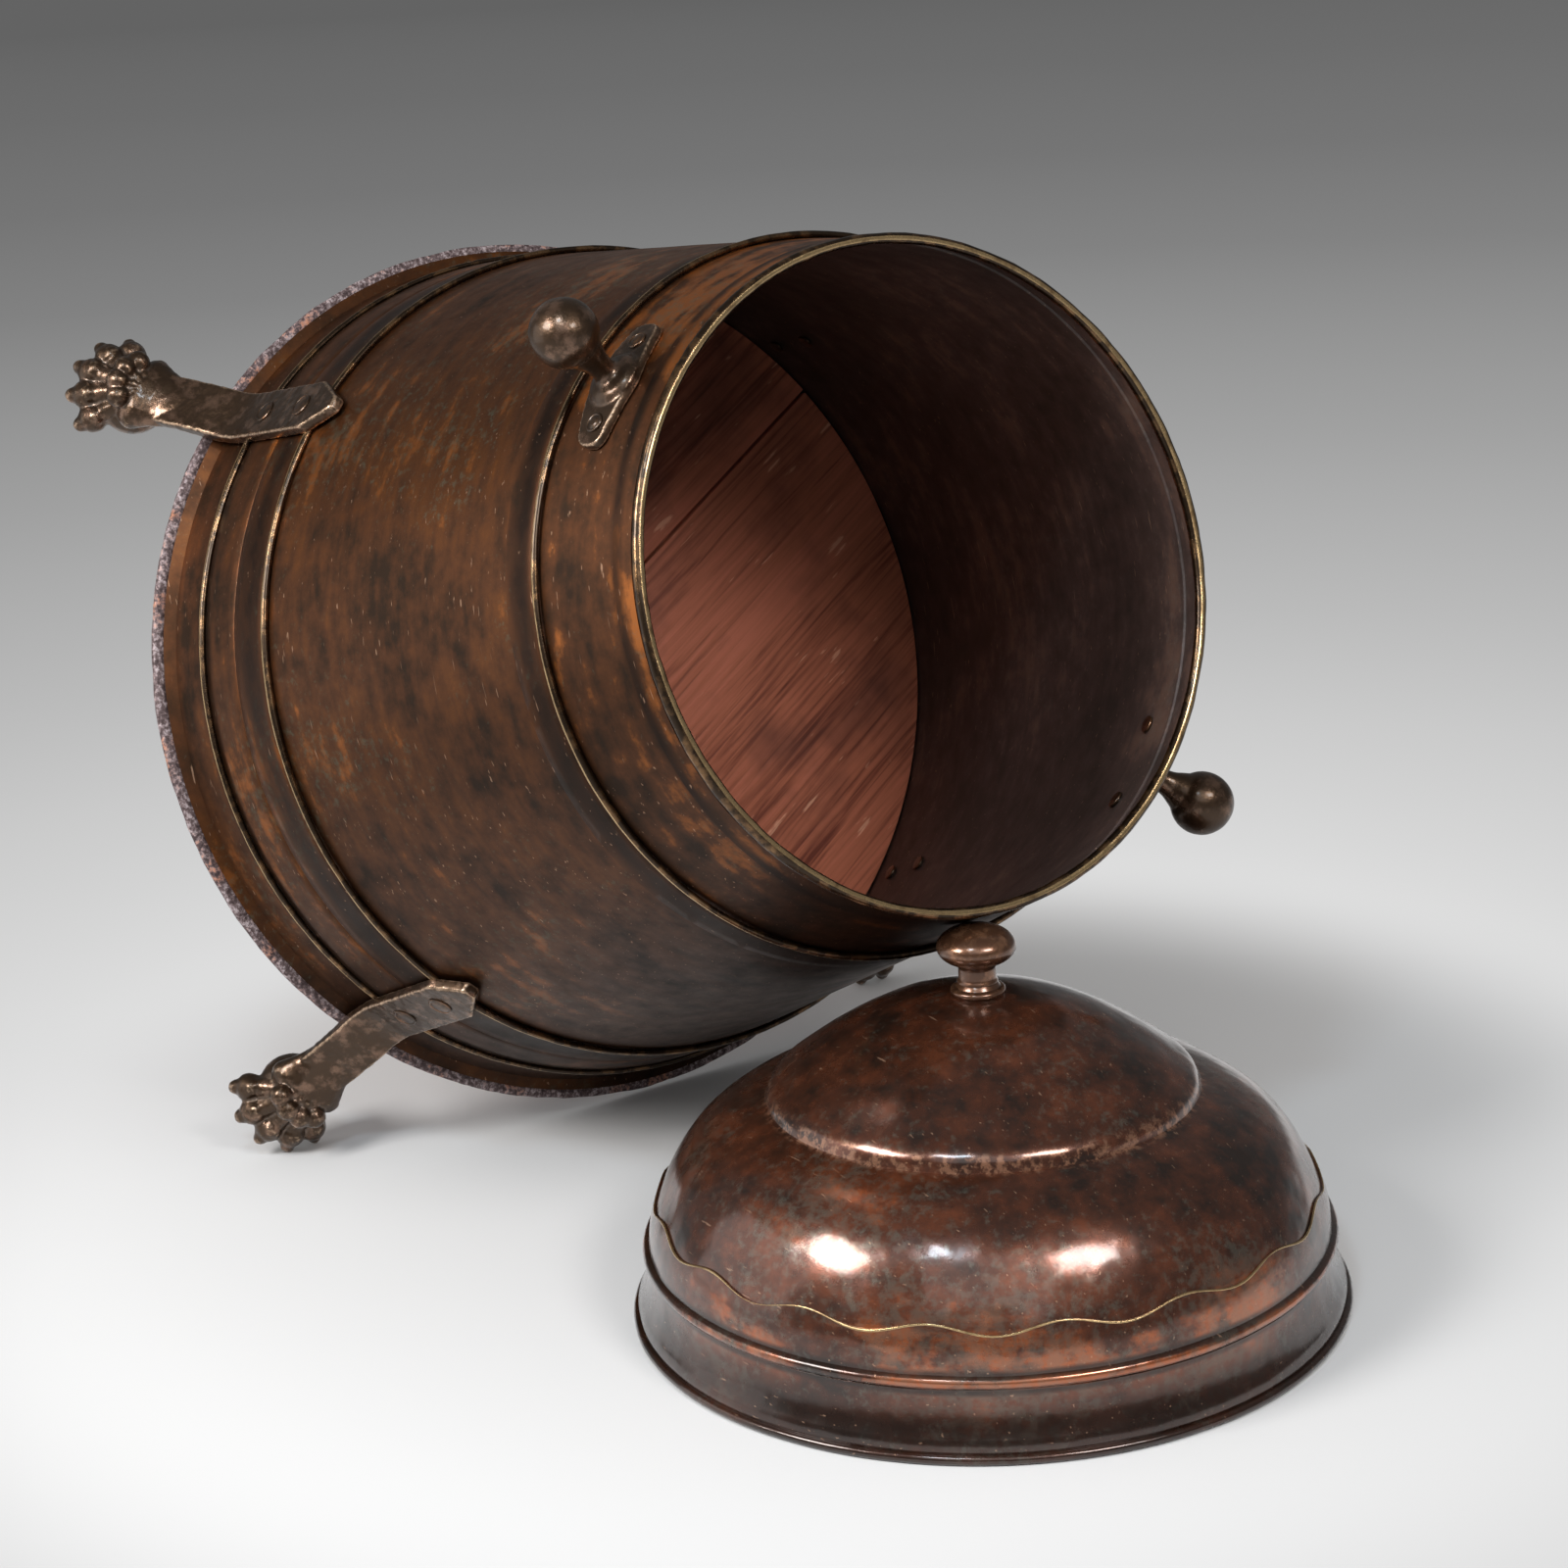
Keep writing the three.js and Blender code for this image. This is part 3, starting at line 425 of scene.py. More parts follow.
def per_mm(size: float) -> float:
    """Texture scale at which a pattern repeats about every so many millimetres."""
    return 1 / (size * MM)


def add_node(
    tree: NodeTree,
    kind: str,
    *values: object,
    inputs: dict[str, object] | None = None,
    stops: Sequence[tuple[float, Colour]] = (),
    **settings: object,
) -> Node:
    """Adds a node with its settings and links.

    Args:
        tree: the node tree.
        kind: the node's type, without its ShaderNode prefix.
        values: what its inputs get, in the order in which the node shows them. Each is a
            number, a colour, an output, or a node whose first output is meant.
        inputs: the same for inputs that are given by name.
        stops: positions and colours of a colour ramp.
        settings: attributes of the node.

    Returns:
        The new node.
    """
    node = tree.nodes.new("ShaderNode" + kind)
    for name, value in settings.items():
        setattr(node, name, value)
    shown = [socket for socket in node.inputs if socket.enabled]
    named = [(node.inputs[name], value) for name, value in (inputs or {}).items()]
    for socket, value in [*zip(shown, values), *named]:
        if isinstance(value, Node):
            value = next(output for output in value.outputs if output.enabled)
        if isinstance(value, NodeSocket):
            tree.links.new(value, socket)
        else:
            socket.default_value = value
    if stops:
        elements = node.color_ramp.elements
        while len(elements) < len(stops):
            elements.new(1.0)
        for element, (position, tone) in zip(elements, stops):
            element.position = position
            element.color = tone
    return node


def new_material(name: str) -> tuple[Material, AddNode]:
    """An empty material, and add_node for its tree."""
    material = bpy.data.materials.new(name)
    material.use_nodes = True
    material.node_tree.nodes.clear()
    return material, partial(add_node, material.node_tree)


def own_axes(add: AddNode, place: Matrix) -> Node:
    """Object coordinates turned back to a sub-assembly's upright axes."""
    back = place.inverted()
    seat = add("TexCoord").outputs["Object"]
    return add("Mapping", seat, back.to_translation(), back.to_euler("XYZ"))


@dataclass(frozen=True)
class PatinatedCopper:
    """Copper sheet, raised and planished by hand and browned by age and smoke.

    The brown oxide is uneven, rubbed back to orange metal where hands and cloths
    reach, with grey-green verdigris in specks and dark soot along the joints. The soot
    colour also paints shade on a shaded side. Sizes are in mm, as are the (height,
    reach) of joints and the (bottom, top) of zones that are rubbed more than the rest,
    or less; a zone can also carry a painted highlight.
    """

    name: str
    deep: str
    brown: str
    warm: str
    rubbed: str
    verdigris: str
    # Soot of the joints, and also the colour of the painted shade on a shaded side.
    soot: str = "#17110d"
    scratched: str = "#c9a184"
    rub_start: float = 0.53
    rub_edge: float = 0.07
    rub_share: float = 0.8
    bloom_start: float = 0.6
    bloom_share: float = 0.35
    mottle_share: float = 0.45
    scratches: float = 0.45
    smoothest: float = 0.3
    roughest: float = 0.52
    metal_share: float = 0.55
    wax: float = 0.8
    wax_roughness: float = 0.2
    joints: tuple[Point, ...] = ()
    joint_share: float = 0.82
    zones: tuple[tuple[float, float, float], ...] = ()
    zone_edge: float = 0.7
    seam_radius: float = 0
    seam_core: float = 0.4
    seam_reach: float = 3.4
    seam_crust: str = "#9c6e54"
    shaded_side: float = 0
    shade_from: float = -90
    shade_to: float = 170
    patch: float = 85
    mottle: float = 13
    wipe: float = 40
    speck: float = 4.2
    grit: float = 1.6
    scratch: float = 1.5
    planish: float = 20
    planish_height: float = 0.16
    grit_height: float = 0.04

    def joint_mask(self, add: AddNode, axes: Node, waver: Node) -> Node | float:
        """Darkening in the soot colour about each given height, at joints and in broader bands.

        Args:
            add: adds a node to the material.
            axes: the upright coordinates.
            waver: a noise that frays the soot's edge.

        Returns:
            A mask, 1 on a joint.
        """
        height = add("SeparateXYZ", axes).outputs["Z"]
        mask = 0.0
        for middle, reach in self.joints:
            offset = add("Math", height, middle * MM, operation="SUBTRACT")
            away = add("Math", offset, operation="ABSOLUTE")
            near = add("MapRange", away, 0.0, reach * MM, 1.0, 0.0, interpolation_type="SMOOTHSTEP")
            frayed = add("Math", near, waver, operation="MULTIPLY")
            mask = add("Math", mask, frayed, operation="MAXIMUM")
        return mask

    def zoned(self, add: AddNode, axes: Node, wear: Node) -> Node:
        """Adds to the wear between two heights, or takes from it; a zone can also paint a highlight
        as wear.

        Args:
            add: adds a node to the material.
            axes: the upright coordinates.
            wear: the wear so far.

        Returns:
            The wear with every zone's share.
        """
        height = add("SeparateXYZ", axes).outputs["Z"]
        for bottom, top, share in self.zones:
            low = ((bottom - self.zone_edge) * MM, (bottom + self.zone_edge) * MM)
            high = ((top - self.zone_edge) * MM, (top + self.zone_edge) * MM)
            above = add("MapRange", height, *low, 0.0, share)
            below = add("MapRange", height, *high, 1.0, 0.0)
            zone = add("Math", above, below, operation="MULTIPLY")
            wear = add("Math", wear, zone, operation="ADD")
        return wear

    def seam_mask(self, add: AddNode, axes: Node, waver: Node) -> Node:
        """Crusted solder in a ring about the axis.

        Args:
            add: adds a node to the material.
            axes: the upright coordinates.
            waver: a noise that breaks the ring up.

        Returns:
            A mask, near 1 on the seam.
        """
        parts = add("SeparateXYZ", axes)
        flat = add("CombineXYZ", parts.outputs["X"], parts.outputs["Y"], 0.0)
        reach = add("VectorMath", flat, operation="LENGTH")
        offset = add("Math", reach, self.seam_radius * MM, operation="SUBTRACT")
        away = add("Math", offset, operation="ABSOLUTE")
        near = add("MapRange", away, self.seam_core * MM, self.seam_reach * MM, 0.9, 0.0)
        ragged = add("MapRange", waver, 0.47, 0.6, 0.0, 1.0)
        return add("Math", near, ragged, operation="MULTIPLY")

    def material(self, place: Matrix) -> Material:
        """Builds the material.

        Args:
            place: where the sheet's upright axes lie.

        Returns:
            The material.
        """
        material, add = new_material(self.name)
        axes = own_axes(add, place)
        patch = add("TexNoise", axes, per_mm(self.patch), 4.0)
        mottle = add("TexNoise", axes, per_mm(self.mottle), 5.0, 0.62)
        wiped = add("Mapping", axes, inputs={"Scale": (1.0, 1.0, 5.0)})
        wiping = add("TexNoise", wiped, per_mm(self.wipe), 6.0)
        grit = add("TexNoise", axes, per_mm(self.grit), 2.0, 0.6)
        speck = add("TexNoise", axes, per_mm(self.speck), 3.0, 0.7)
        slant = {"Rotation": (0.6, 0.3, 0.9), "Scale": (0.07, 1.0, 1.0)}
        slanted = add("Mapping", axes, inputs=slant)
        scores = add("TexNoise", slanted, per_mm(self.scratch), 2.0)

        both = add("Mix", self.mottle_share, patch, mottle, data_type="FLOAT")
        tone = add("Mix", 0.25, both, wiping, data_type="FLOAT")
        oxides = [(0.4, colour(self.deep)), (0.5, colour(self.brown)), (0.6, colour(self.warm))]
        skin = add("ValToRGB", tone, stops=oxides)

        wear = add("Mix", 0.5, wiping, mottle, data_type="FLOAT")
        wear = add("Mix", 0.45, wear, patch, data_type="FLOAT")
        rub = (self.rub_start, self.rub_start + self.rub_edge, 0.0, self.rub_share)
        rubbed_and_highlit = add("MapRange", self.zoned(add, axes, wear), *rub)
        where = add("Mix", 0.45, speck, patch, data_type="FLOAT")
        start = self.bloom_start
        bloom = add("MapRange", where, start - 0.04, start + 0.05, 0.0, self.bloom_share)
        layers = [(rubbed_and_highlit, self.rubbed), (bloom, self.verdigris)]
        if self.joints:
            joint = self.joint_mask(add, axes, mottle)
            joint_darkening = add("MapRange", joint, 0.1, 0.55, 0.0, self.joint_share)
            layers.append((joint_darkening, self.soot))
        if self.shaded_side:
            # Painted shade: darker towards the side that it lies on, by the floor, in the soot
            # colour.
            side = add("SeparateXYZ", axes)
            share = (self.shade_from * MM, self.shade_to * MM, 0.0, self.shaded_side)
            layers.append((add("MapRange", side, *share), self.soot))
        if self.seam_radius:
            layers.append((self.seam_mask(add, axes, speck), self.seam_crust))
        scored = add("MapRange", scores, 0.7, 0.74, 0.0, self.scratches)
        for mask, code in [*layers, (scored, self.scratched)]:
            skin = add("Mix", mask, skin, colour(code), data_type="RGBA")

        rough = add("MapRange", both, 0.35, 0.65, self.roughest, self.smoothest)
        dents = add("TexNoise", axes, per_mm(self.planish), 1.0)
        beaten = {"Height": dents, "Strength": 1.0, "Distance": self.planish_height * MM}
        low = add("Bump", inputs=beaten)
        gritty = {"Height": grit, "Strength": 0.5, "Distance": self.grit_height * MM, "Normal": low}
        fine = add("Bump", inputs=gritty)
        surface = {
            "Base Color": skin,
            "Metallic": self.metal_share,
            "Roughness": rough,
            "Normal": fine,
            "Coat Weight": self.wax,
            "Coat Roughness": self.wax_roughness,
            "Coat Normal": fine,
        }
        add("OutputMaterial", add("BsdfPrincipled", inputs=surface))
        return material


@dataclass(frozen=True)
class WornBrass:
    """Drawn or cast brass, brown in the hollows and bright where it is handled.

    A dark film fills the pits; raised edges show pale yellow metal, partly worn and partly a painted
    highlight. Sizes are in mm.
    """

    name: str
    film: str
    metal: str
    bright: str
    crevice: str
    wear: float
    smoothest: float = 0.28
    roughest: float = 0.48
    cloud: float = 9
    pit: float = 1.3
    pitting: float = 0.1
    metal_share: float = 0.9
    wax: float = 0.3
    wax_roughness: float = 0.15
    worn_highlight_edges: float = 0
    filled_hollows: float = 0.8

    def material(self) -> Material:
        """Builds the material."""
        material, add = new_material(self.name)
        axes = add("TexCoord").outputs["Object"]
        shape = add("NewGeometry").outputs["Pointiness"]
        cloud = add("TexNoise", axes, per_mm(self.cloud), 5.0, 0.6)
        pits = add("TexNoise", axes, per_mm(self.pit), 3.0, 0.65)
        bare = (0.62 - 0.3 * self.wear, 0.78 - 0.3 * self.wear)
        film = add("MapRange", cloud, *bare, 0.0, 1.0)
        # Painted highlight with wear: raised bumps and edges, found by pointiness, turn pale.
        raised = add("MapRange", shape, 0.505, 0.54, 0.0, self.worn_highlight_edges)
        frayed = add("Math", raised, pits, operation="MULTIPLY")
        edge = add("MapRange", frayed, 0.1, 0.42, 0.0, 1.0)
        hollow = add("MapRange", shape, 0.495, 0.45, 0.0, self.filled_hollows)
        skin = colour(self.film)
        for mask, code in ((film, self.metal), (edge, self.bright), (hollow, self.crevice)):
            skin = add("Mix", mask, skin, colour(code), data_type="RGBA")
        rough = add("MapRange", cloud, 0.35, 0.65, self.roughest, self.smoothest)
        pitted = {"Height": pits, "Strength": 0.7, "Distance": self.pitting * MM}
        surface = {
            "Base Color": skin,
            "Metallic": self.metal_share,
            "Roughness": rough,
            "Normal": add("Bump", inputs=pitted),
            "Coat Weight": self.wax,
            "Coat Roughness": self.wax_roughness,
        }
        add("OutputMaterial", add("BsdfPrincipled", inputs=surface))
        return material


@dataclass(frozen=True)
class RustedIron:
    """Wrought iron, hammered and rusted to a purple brown.

    Scale and pits break up the light; orange rust shows in specks. Sizes are in mm.
    """

    name: str
    pitted: str
    scale: str
    bloom: str
    rust: str
    cloud: float = 16
    pit: float = 2.4
    pit_depth: float = 0.5
    hammer: float = 7
    hammer_depth: float = 0.7

    def material(self) -> Material:
        """Builds the material."""
        material, add = new_material(self.name)
        axes = add("TexCoord").outputs["Object"]
        cloud = add("TexNoise", axes, per_mm(self.cloud), 5.0)
        pits = add("TexNoise", axes, per_mm(self.pit), 4.0, 0.7)
        hammer = add("TexVoronoi", axes, per_mm(self.hammer), feature="SMOOTH_F1")
        scales = [(0.38, colour(self.pitted)), (0.5, colour(self.scale)), (0.66, colour(self.bloom))]
        base = add("ValToRGB", pits, stops=scales)
        mixed = add("Mix", 0.5, cloud, pits, data_type="FLOAT")
        rust = add("MapRange", mixed, 0.55, 0.64, 0.0, 0.85)
        beaten = {"Height": hammer, "Strength": 0.7, "Distance": self.hammer_depth * MM}
        low = add("Bump", inputs=beaten)
        rough = {"Height": pits, "Strength": 0.9, "Distance": self.pit_depth * MM, "Normal": low}
        surface = {
            "Base Color": add("Mix", rust, base, colour(self.rust), data_type="RGBA"),
            "Metallic": 0.35,
            "Roughness": 0.62,
            "Normal": add("Bump", inputs=rough),
        }
        add("OutputMaterial", add("BsdfPrincipled", inputs=surface))
        return material


@dataclass(frozen=True)
class OldPineBoard:
    """Softwood board, stained red brown by years of coal and damp.

    Fine growth lines run along the board; scuffs and scratches show paler wood.
    Sizes are in mm.
    """

    name: str
    late_wood: str
    middle_wood: str
    early_wood: str
    stained: str
    scuffed: str
    growth_line: float = 2.6
    growth_depth: float = 0.4
    sweep: float = 17
    stain: float = 70
    scratch: float = 3
    scuff: float = 26

    def material(self, place: Matrix) -> Material:
        """Builds the material.

        Args:
            place: where the board lies, with its grain along X.

        Returns:
            The material.
        """
        material, add = new_material(self.name)
        axes = own_axes(add, place)
        drawn_out = add("Mapping", axes, inputs={"Scale": (0.045, 1.0, 0.3)})
        lines = add(
            "TexNoise", drawn_out, per_mm(self.growth_line), 4.0, inputs={"Distortion": 0.4}
        )
        sweep = add("TexNoise", drawn_out, per_mm(self.sweep), 2.0, inputs={"Distortion": 0.3})
        both = add("Mix", 0.45, lines, sweep, data_type="FLOAT")
        woods = [
            (0.36, colour(self.late_wood)),
            (0.5, colour(self.middle_wood)),
            (0.64, colour(self.early_wood)),
        ]
        skin = add("ValToRGB", both, stops=woods)
        stain = add("TexNoise", axes, per_mm(self.stain), 4.0)
        shade = add("MapRange", stain, 0.4, 0.58, 0.75, 0.0)
        slant = {"Rotation": (0.0, 0.0, 0.9), "Scale": (0.09, 1.0, 1.0)}
        aslant = add("Mapping", axes, inputs=slant)
        nicks = add("TexNoise", aslant, per_mm(self.scratch), 3.0)
        scuffing = add("TexNoise", axes, per_mm(self.scuff), 3.0)
        worn = add("Math", nicks, scuffing, operation="MULTIPLY")
        paler = add("MapRange", worn, 0.38, 0.43, 0.0, 0.55)
        for mask, code in ((shade, self.stained), (paler, self.scuffed)):
            skin = add("Mix", mask, skin, colour(code), data_type="RGBA")
        ribbed = {"Height": lines, "Strength": 0.8, "Distance": self.growth_depth * MM}
        surface = {
            "Base Color": skin,
            "Roughness": 0.58,
            "Normal": add("Bump", inputs=ribbed),
        }
        add("OutputMaterial", add("BsdfPrincipled", inputs=surface))
        return material


# Hand-raised copper sheet of the bin, browned by smoke: satin brown, orange where it is rubbed.
BROWNED_COPPER = PatinatedCopper(
    name="browned_copper_sheet",
    deep="#36261a",
    brown="#5e3a23",
    warm="#774825",
    rubbed="#bd7036",
    verdigris="#717b69",
    rub_start=0.57,
    metal_share=0.9,
    wax=0.04,
    wax_roughness=0.3,
    smoothest=0.33,
    roughest=0.55,
    # Painted shade, darker towards the floor side.
    shaded_side=0.62,
    joints=((281, 15), (77, 17), (34.8, 12), (340, 7)),
    # The mouth zone also paints a highlight onto the rubbed band below the mouth.
    zones=((294, 352, 0.06), (37, 62, 0.02)),
)
# The same sheet inside the bin, under a film of coal soot: dark and dull, with hardly a gleam.
SOOTED_COPPER = PatinatedCopper(
    name="sooted_copper_inside",
    deep="#382e29",
    brown="#473833",
    warm="#56443f",
    rubbed="#6b5144",
    verdigris="#6b625b",
    metal_share=0.1,
    wax=0.1,
    smoothest=0.5,
    roughest=0.65,
)
# Planished copper of the lid, waxed and handled: red brown under clear, dented highlights.
HANDLED_COPPER = PatinatedCopper(
    name="handled_copper_sheet",
    deep="#2e1f18",
    brown="#563020",
    warm="#79432b",
    rubbed="#b66438",
    verdigris="#76796d",
    rub_start=0.59,
    # Soot-coloured bands at the lip, under and over the bead, and one broad band that darkens the
    # whole skirt.
    joints=((1.5, 8), (28.5, 3.5), (36, 3), (11, 24)),
    # The bead's zone rubs the bead bright all round: partly wear, partly a painted highlight.
    zones=((29.9, 34.6, 0.11), (36, 53, 0.05), (0, 29.6, -0.02)),
    metal_share=0.65,
    wax=1.0,
    wax_roughness=0.15,
    bloom_start=0.55,
    bloom_share=0.3,
    mottle_share=0.55,
    smoothest=0.2,
    roughest=0.34,
    seam_radius=95.2,
    planish=14,
    planish_height=0.45,
)
# Drawn brass wire, tarnished: brown, with a yellow glint where the light catches it.
DRAWN_BRASS = WornBrass(
    name="drawn_brass_wire",
    film="#3a2c1f",
    metal="#816243",
    bright="#e8be81",
    crevice="#291e15",
    wear=0.45,
    smoothest=0.2,
    roughest=0.34,
)
# The crest of that wire, rubbed by use: a thin pale yellow line, partly worn metal and partly a
# painted highlight line.
RUBBED_HIGHLIGHT_BRASS = WornBrass(
    name="rubbed_highlight_brass_wire",
    film="#7d6344",
    metal="#bfa276",
    bright="#f0d9b0",
    crevice="#2a1d12",
    wear=0.95,
    smoothest=0.2,
    roughest=0.36,
)
# Cast bronze of feet and handles: grey brown, pitted, with bright edges, partly worn and partly a
# painted highlight.
CAST_BRONZE = WornBrass(
    name="cast_bronze",
    film="#4a3829",
    metal="#806452",
    bright="#f6d1af",
    crevice="#75665b",
    wear=0.4,
    pitting=0.2,
    smoothest=0.22,
    roughest=0.4,
    metal_share=0.85,
    wax=0.35,
    worn_highlight_edges=0.5,
)
# Heads of the flush rivets, filed level: smooth brown discs that show by a bright rim.
RIVET_METAL = WornBrass(
    name="flush_rivet_metal",
    film="#433224",
    metal="#7e5a3f",
    bright="#c3aa8e",
    crevice="#312a24",
    wear=0.5,
    wax=0.6,
)
# Turned brass of the lid's knob, polished by hands: warm brown with a soft shine.
KNOB_BRASS = WornBrass(
    name="handled_knob_brass",
    film="#64432f",
    metal="#996d50",
    bright="#cc996b",
    crevice="#342017",
    wear=0.5,
    smoothest=0.2,
    roughest=0.36,
    metal_share=0.75,
    wax=0.9,
)
# Hammered wrought iron of the ring, rusted: rough and purple brown, with orange specks.
RUSTED_IRON = RustedIron(
    name="rusted_iron", pitted="#403232", scale="#6a5959", bloom="#bdb0b2", rust="#bd7a52"
)
# Old pine of the floor, stained by coal and damp: matt red brown with fine paler lines.
OLD_PINE = OldPineBoard(
    name="old_pine_board",
    late_wood="#74392a",
    middle_wood="#b96c50",
    early_wood="#cc785d",
    stained="#5b342b",
    scuffed="#ffc19f",
)


# ------------------------------------------------------------------ the bin
@dataclass
class Bin:
    """The tapered copper bin with its bands, wires and iron ring.

    Points are (radius, height) above the ring's sole. Wall, bands and wires take the
    same dents, so that they stay together. A wire's crest is what lies beyond a share
    of its radius.
    """

    berth: Berth
    copper: Material
    soot: Material
    wire: Material
    rubbed_highlight_wire: Material
    iron: Material
    sheet: float = 1.6
    mouth_height: float = 349.6
    mouth_radius: float = 148.5
    hem_height: float = 12
    hem_step: float = 0.9
    upper_wire: Point = (162.3, 292)
    lower_wire_top: Point = (203.7, 91.6)
    lower_wire_bottom: Point = (213.2, 34.8)
    wall_foot: Point = (217, 14.8)
    flange: Point = (224.5, 6.4)
    flange_turn: Point = (218.9, 8.8)
    rim_wire: float = 2.6
    band_wire: float = 1.6
    band_thickness: float = 1.2
    upper_band_width: float = 19
    ring_radius: float = 229
    ring_width: float = 37
    ring_thickness: float = 4.5
    ring_lip: float = 1.2
    segments: int = 192
    band_rounding: float = 0.35
    scribed_half_width: float = 0.6
    scribed_depth: float = 0.45
    dents: tuple[Point, ...] = ((110, 0.8), (34, 0.28))
    ring_dents: tuple[Point, ...] = ((24, 0.9), (7, 0.7))
    wire_segments: int = 256
    ring_segments: int = 360
    crest_share: float = 0.9

    @property
    def face(self) -> list[Point]:
        """Outer face of the wall, from its foot to the mouth."""
        return [
            self.wall_foot,
            self.lower_wire_bottom,
            self.lower_wire_top,
            self.upper_wire,
            (self.mouth_radius, self.mouth_height),
        ]

    def radius(self, height: float) -> float:
        """Radius of the wall's outer face at a height."""
        return radius_at(self.face, height)

    def on_wall(self, height: float) -> Matrix:
        """Lays what stands on the origin square on the wall, at a height in mm."""
        slope = math.atan((self.radius(height - 1) - self.radius(height + 1)) / 2)
        seat = Vector((self.radius(height), 0, height)) * MM
        return Matrix.Translation(seat) @ Matrix.Rotation(math.pi / 2 - slope, 4, "Y")

    def build_wall(self) -> None:
        """The wall: one sheet, turned out at its foot and folded over below the rim."""
        hem = self.mouth_height - self.hem_height
        corners = [
            self.flange,
            self.flange_turn,
            *self.face[:-1],
            (self.radius(hem), hem),
            (self.radius(hem + self.hem_step) + self.hem_step, hem + self.hem_step),
            (self.mouth_radius + self.hem_step, self.mouth_height),
        ]
        wall = lathe("copper_wall", straight(corners, 6), self.segments)
        beat(wall, *self.dents)
        wall.data.materials.append(self.copper)
        wall.data.materials.append(self.soot)
        apply_modifier(
            wall, "SOLIDIFY", thickness=self.sheet * MM, offset=-1, material_offset=1, use_rim=True
        )
        self.berth.lay(wall, "body_shell", self.copper, Slot.BIN_COPPER)

    def build_band(self, name: str, node: str, bottom: float, top: float, scribed: bool) -> None:
        """A flat strip round the wall.

        Args:
            name: the new piece's name.
            node: the frame's node that it stands for.
            bottom: its lower edge, in mm.
            top: its upper edge, in mm.
            scribed: whether a fine line is cut round its middle.
        """
        soft = self.band_rounding
        outer = self.band_thickness + 0.1

        def out(height: float, by: float) -> Point:
            """A point so far out from the wall."""
            return (self.radius(height) + by, height)

        middle = (bottom + top) / 2
        face = [out(bottom + soft, outer), out(top - soft, outer)]
        if scribed:
            half = self.scribed_half_width
            floor = outer - self.scribed_depth
            face[1:1] = [out(middle - half, outer), out(middle, floor), out(middle + half, outer)]
        outline = [
            out(bottom, 0),
            out(bottom, outer - soft),
            *straight(face, 6),
            out(top, outer - soft),
            out(top, 0),
        ]
        band = lathe(name, outline, self.segments, closed=True)
        beat(band, *self.dents)
        self.berth.lay(band, node, self.copper, Slot.BIN_COPPER, crease=50)

    def build_wire(self, name: str, node: str, centre: Point, radius: float, crest: float) -> None:
        """A wire bent round the wall, uneven from the hammer and rubbed bright on its crest, a pale
        line that is also a painted highlight.

        Args:
            name: the new piece's name.
            node: the frame's node that it stands for.
            centre: (radius, height) of the wire's middle, in mm.
            radius: half its thickness, in mm.
            crest: the direction of its crest, in degrees above the horizontal.
        """
        round_wire = arc(centre, radius, crest - 180, crest + 180, 16)[:-1]
        wire = lathe(name, round_wire, self.wire_segments, closed=True)
        wire.data.materials.append(self.wire)
        wire.data.materials.append(self.rubbed_highlight_wire)
        out = Vector((math.cos(math.radians(crest)), math.sin(math.radians(crest))))
        # The crest faces take the rubbed brass: wear, and a painted highlight line along the wire.
        for face in wire.data.polygons:
            x, y, z = face.center / MM
            if out.dot(Vector((math.hypot(x, y), z)) - Vector(centre)) > self.crest_share * radius:
                face.material_index = 1
        beat(wire, *self.dents, (9, 0.22 * radius))
        self.berth.lay(wire, node, self.wire, Slot.WORN_WIRE, crease=80)

    def build_ring(self) -> None:
        """The iron ring under the bin, beaten out unevenly, with a thick upset edge."""
        outer, height = self.ring_radius, self.ring_thickness
        inner = outer - self.ring_width
        outline = straight(
            [
                (inner, 0.4),
                (inner + 1, 0),
                (outer - 3, 0),
                (outer - self.ring_lip, 0.15),
                (outer - 0.2, self.ring_lip),
                (outer, height / 2),
                (outer - 0.3, height - 0.6),
                (outer - 1.6, height),
                (outer - 9, height - 0.3),
                (inner + 1, height - 0.4),
                (inner, height - 0.8),
            ],
            3.5,
        )
        ring = lathe("iron_ring", outline, self.ring_segments, closed=True)
        beat(ring, *self.ring_dents)
        self.berth.lay(ring, "iron_base_ring", self.iron, Slot.FORGED_IRON, crease=60)

    def build(self) -> None:
        """Builds the bin's turned pieces."""
        self.build_wall()
        clear = self.band_wire + GAP
        top = self.upper_wire[1] - clear
        bottom = top - self.upper_band_width
        self.build_band("upper_copper_band", "upper_band", bottom, top, scribed=False)
        bottom, top = self.lower_wire_bottom[1] + clear, self.lower_wire_top[1] - clear
        self.build_band("lower_copper_band", "lower_band", bottom, top, scribed=True)
        wires = {
            "upper_brass_wire": ("upper_band_wire", self.upper_wire),
            "lower_brass_wire_high": ("lower_band_top_wire", self.lower_wire_top),
            "lower_brass_wire_low": ("lower_band_bottom_wire", self.lower_wire_bottom),
        }
        for name, (node, (radius, height)) in wires.items():
            centre = (radius + GAP + self.band_wire, height)
            self.build_wire(name, node, centre, self.band_wire, crest=0)
        rim = (self.mouth_radius - self.sheet / 2, self.mouth_height + GAP + self.rim_wire)
        self.build_wire("rim_brass_wire", "mouth_rim_wire", rim, self.rim_wire, crest=100)
        self.build_ring()


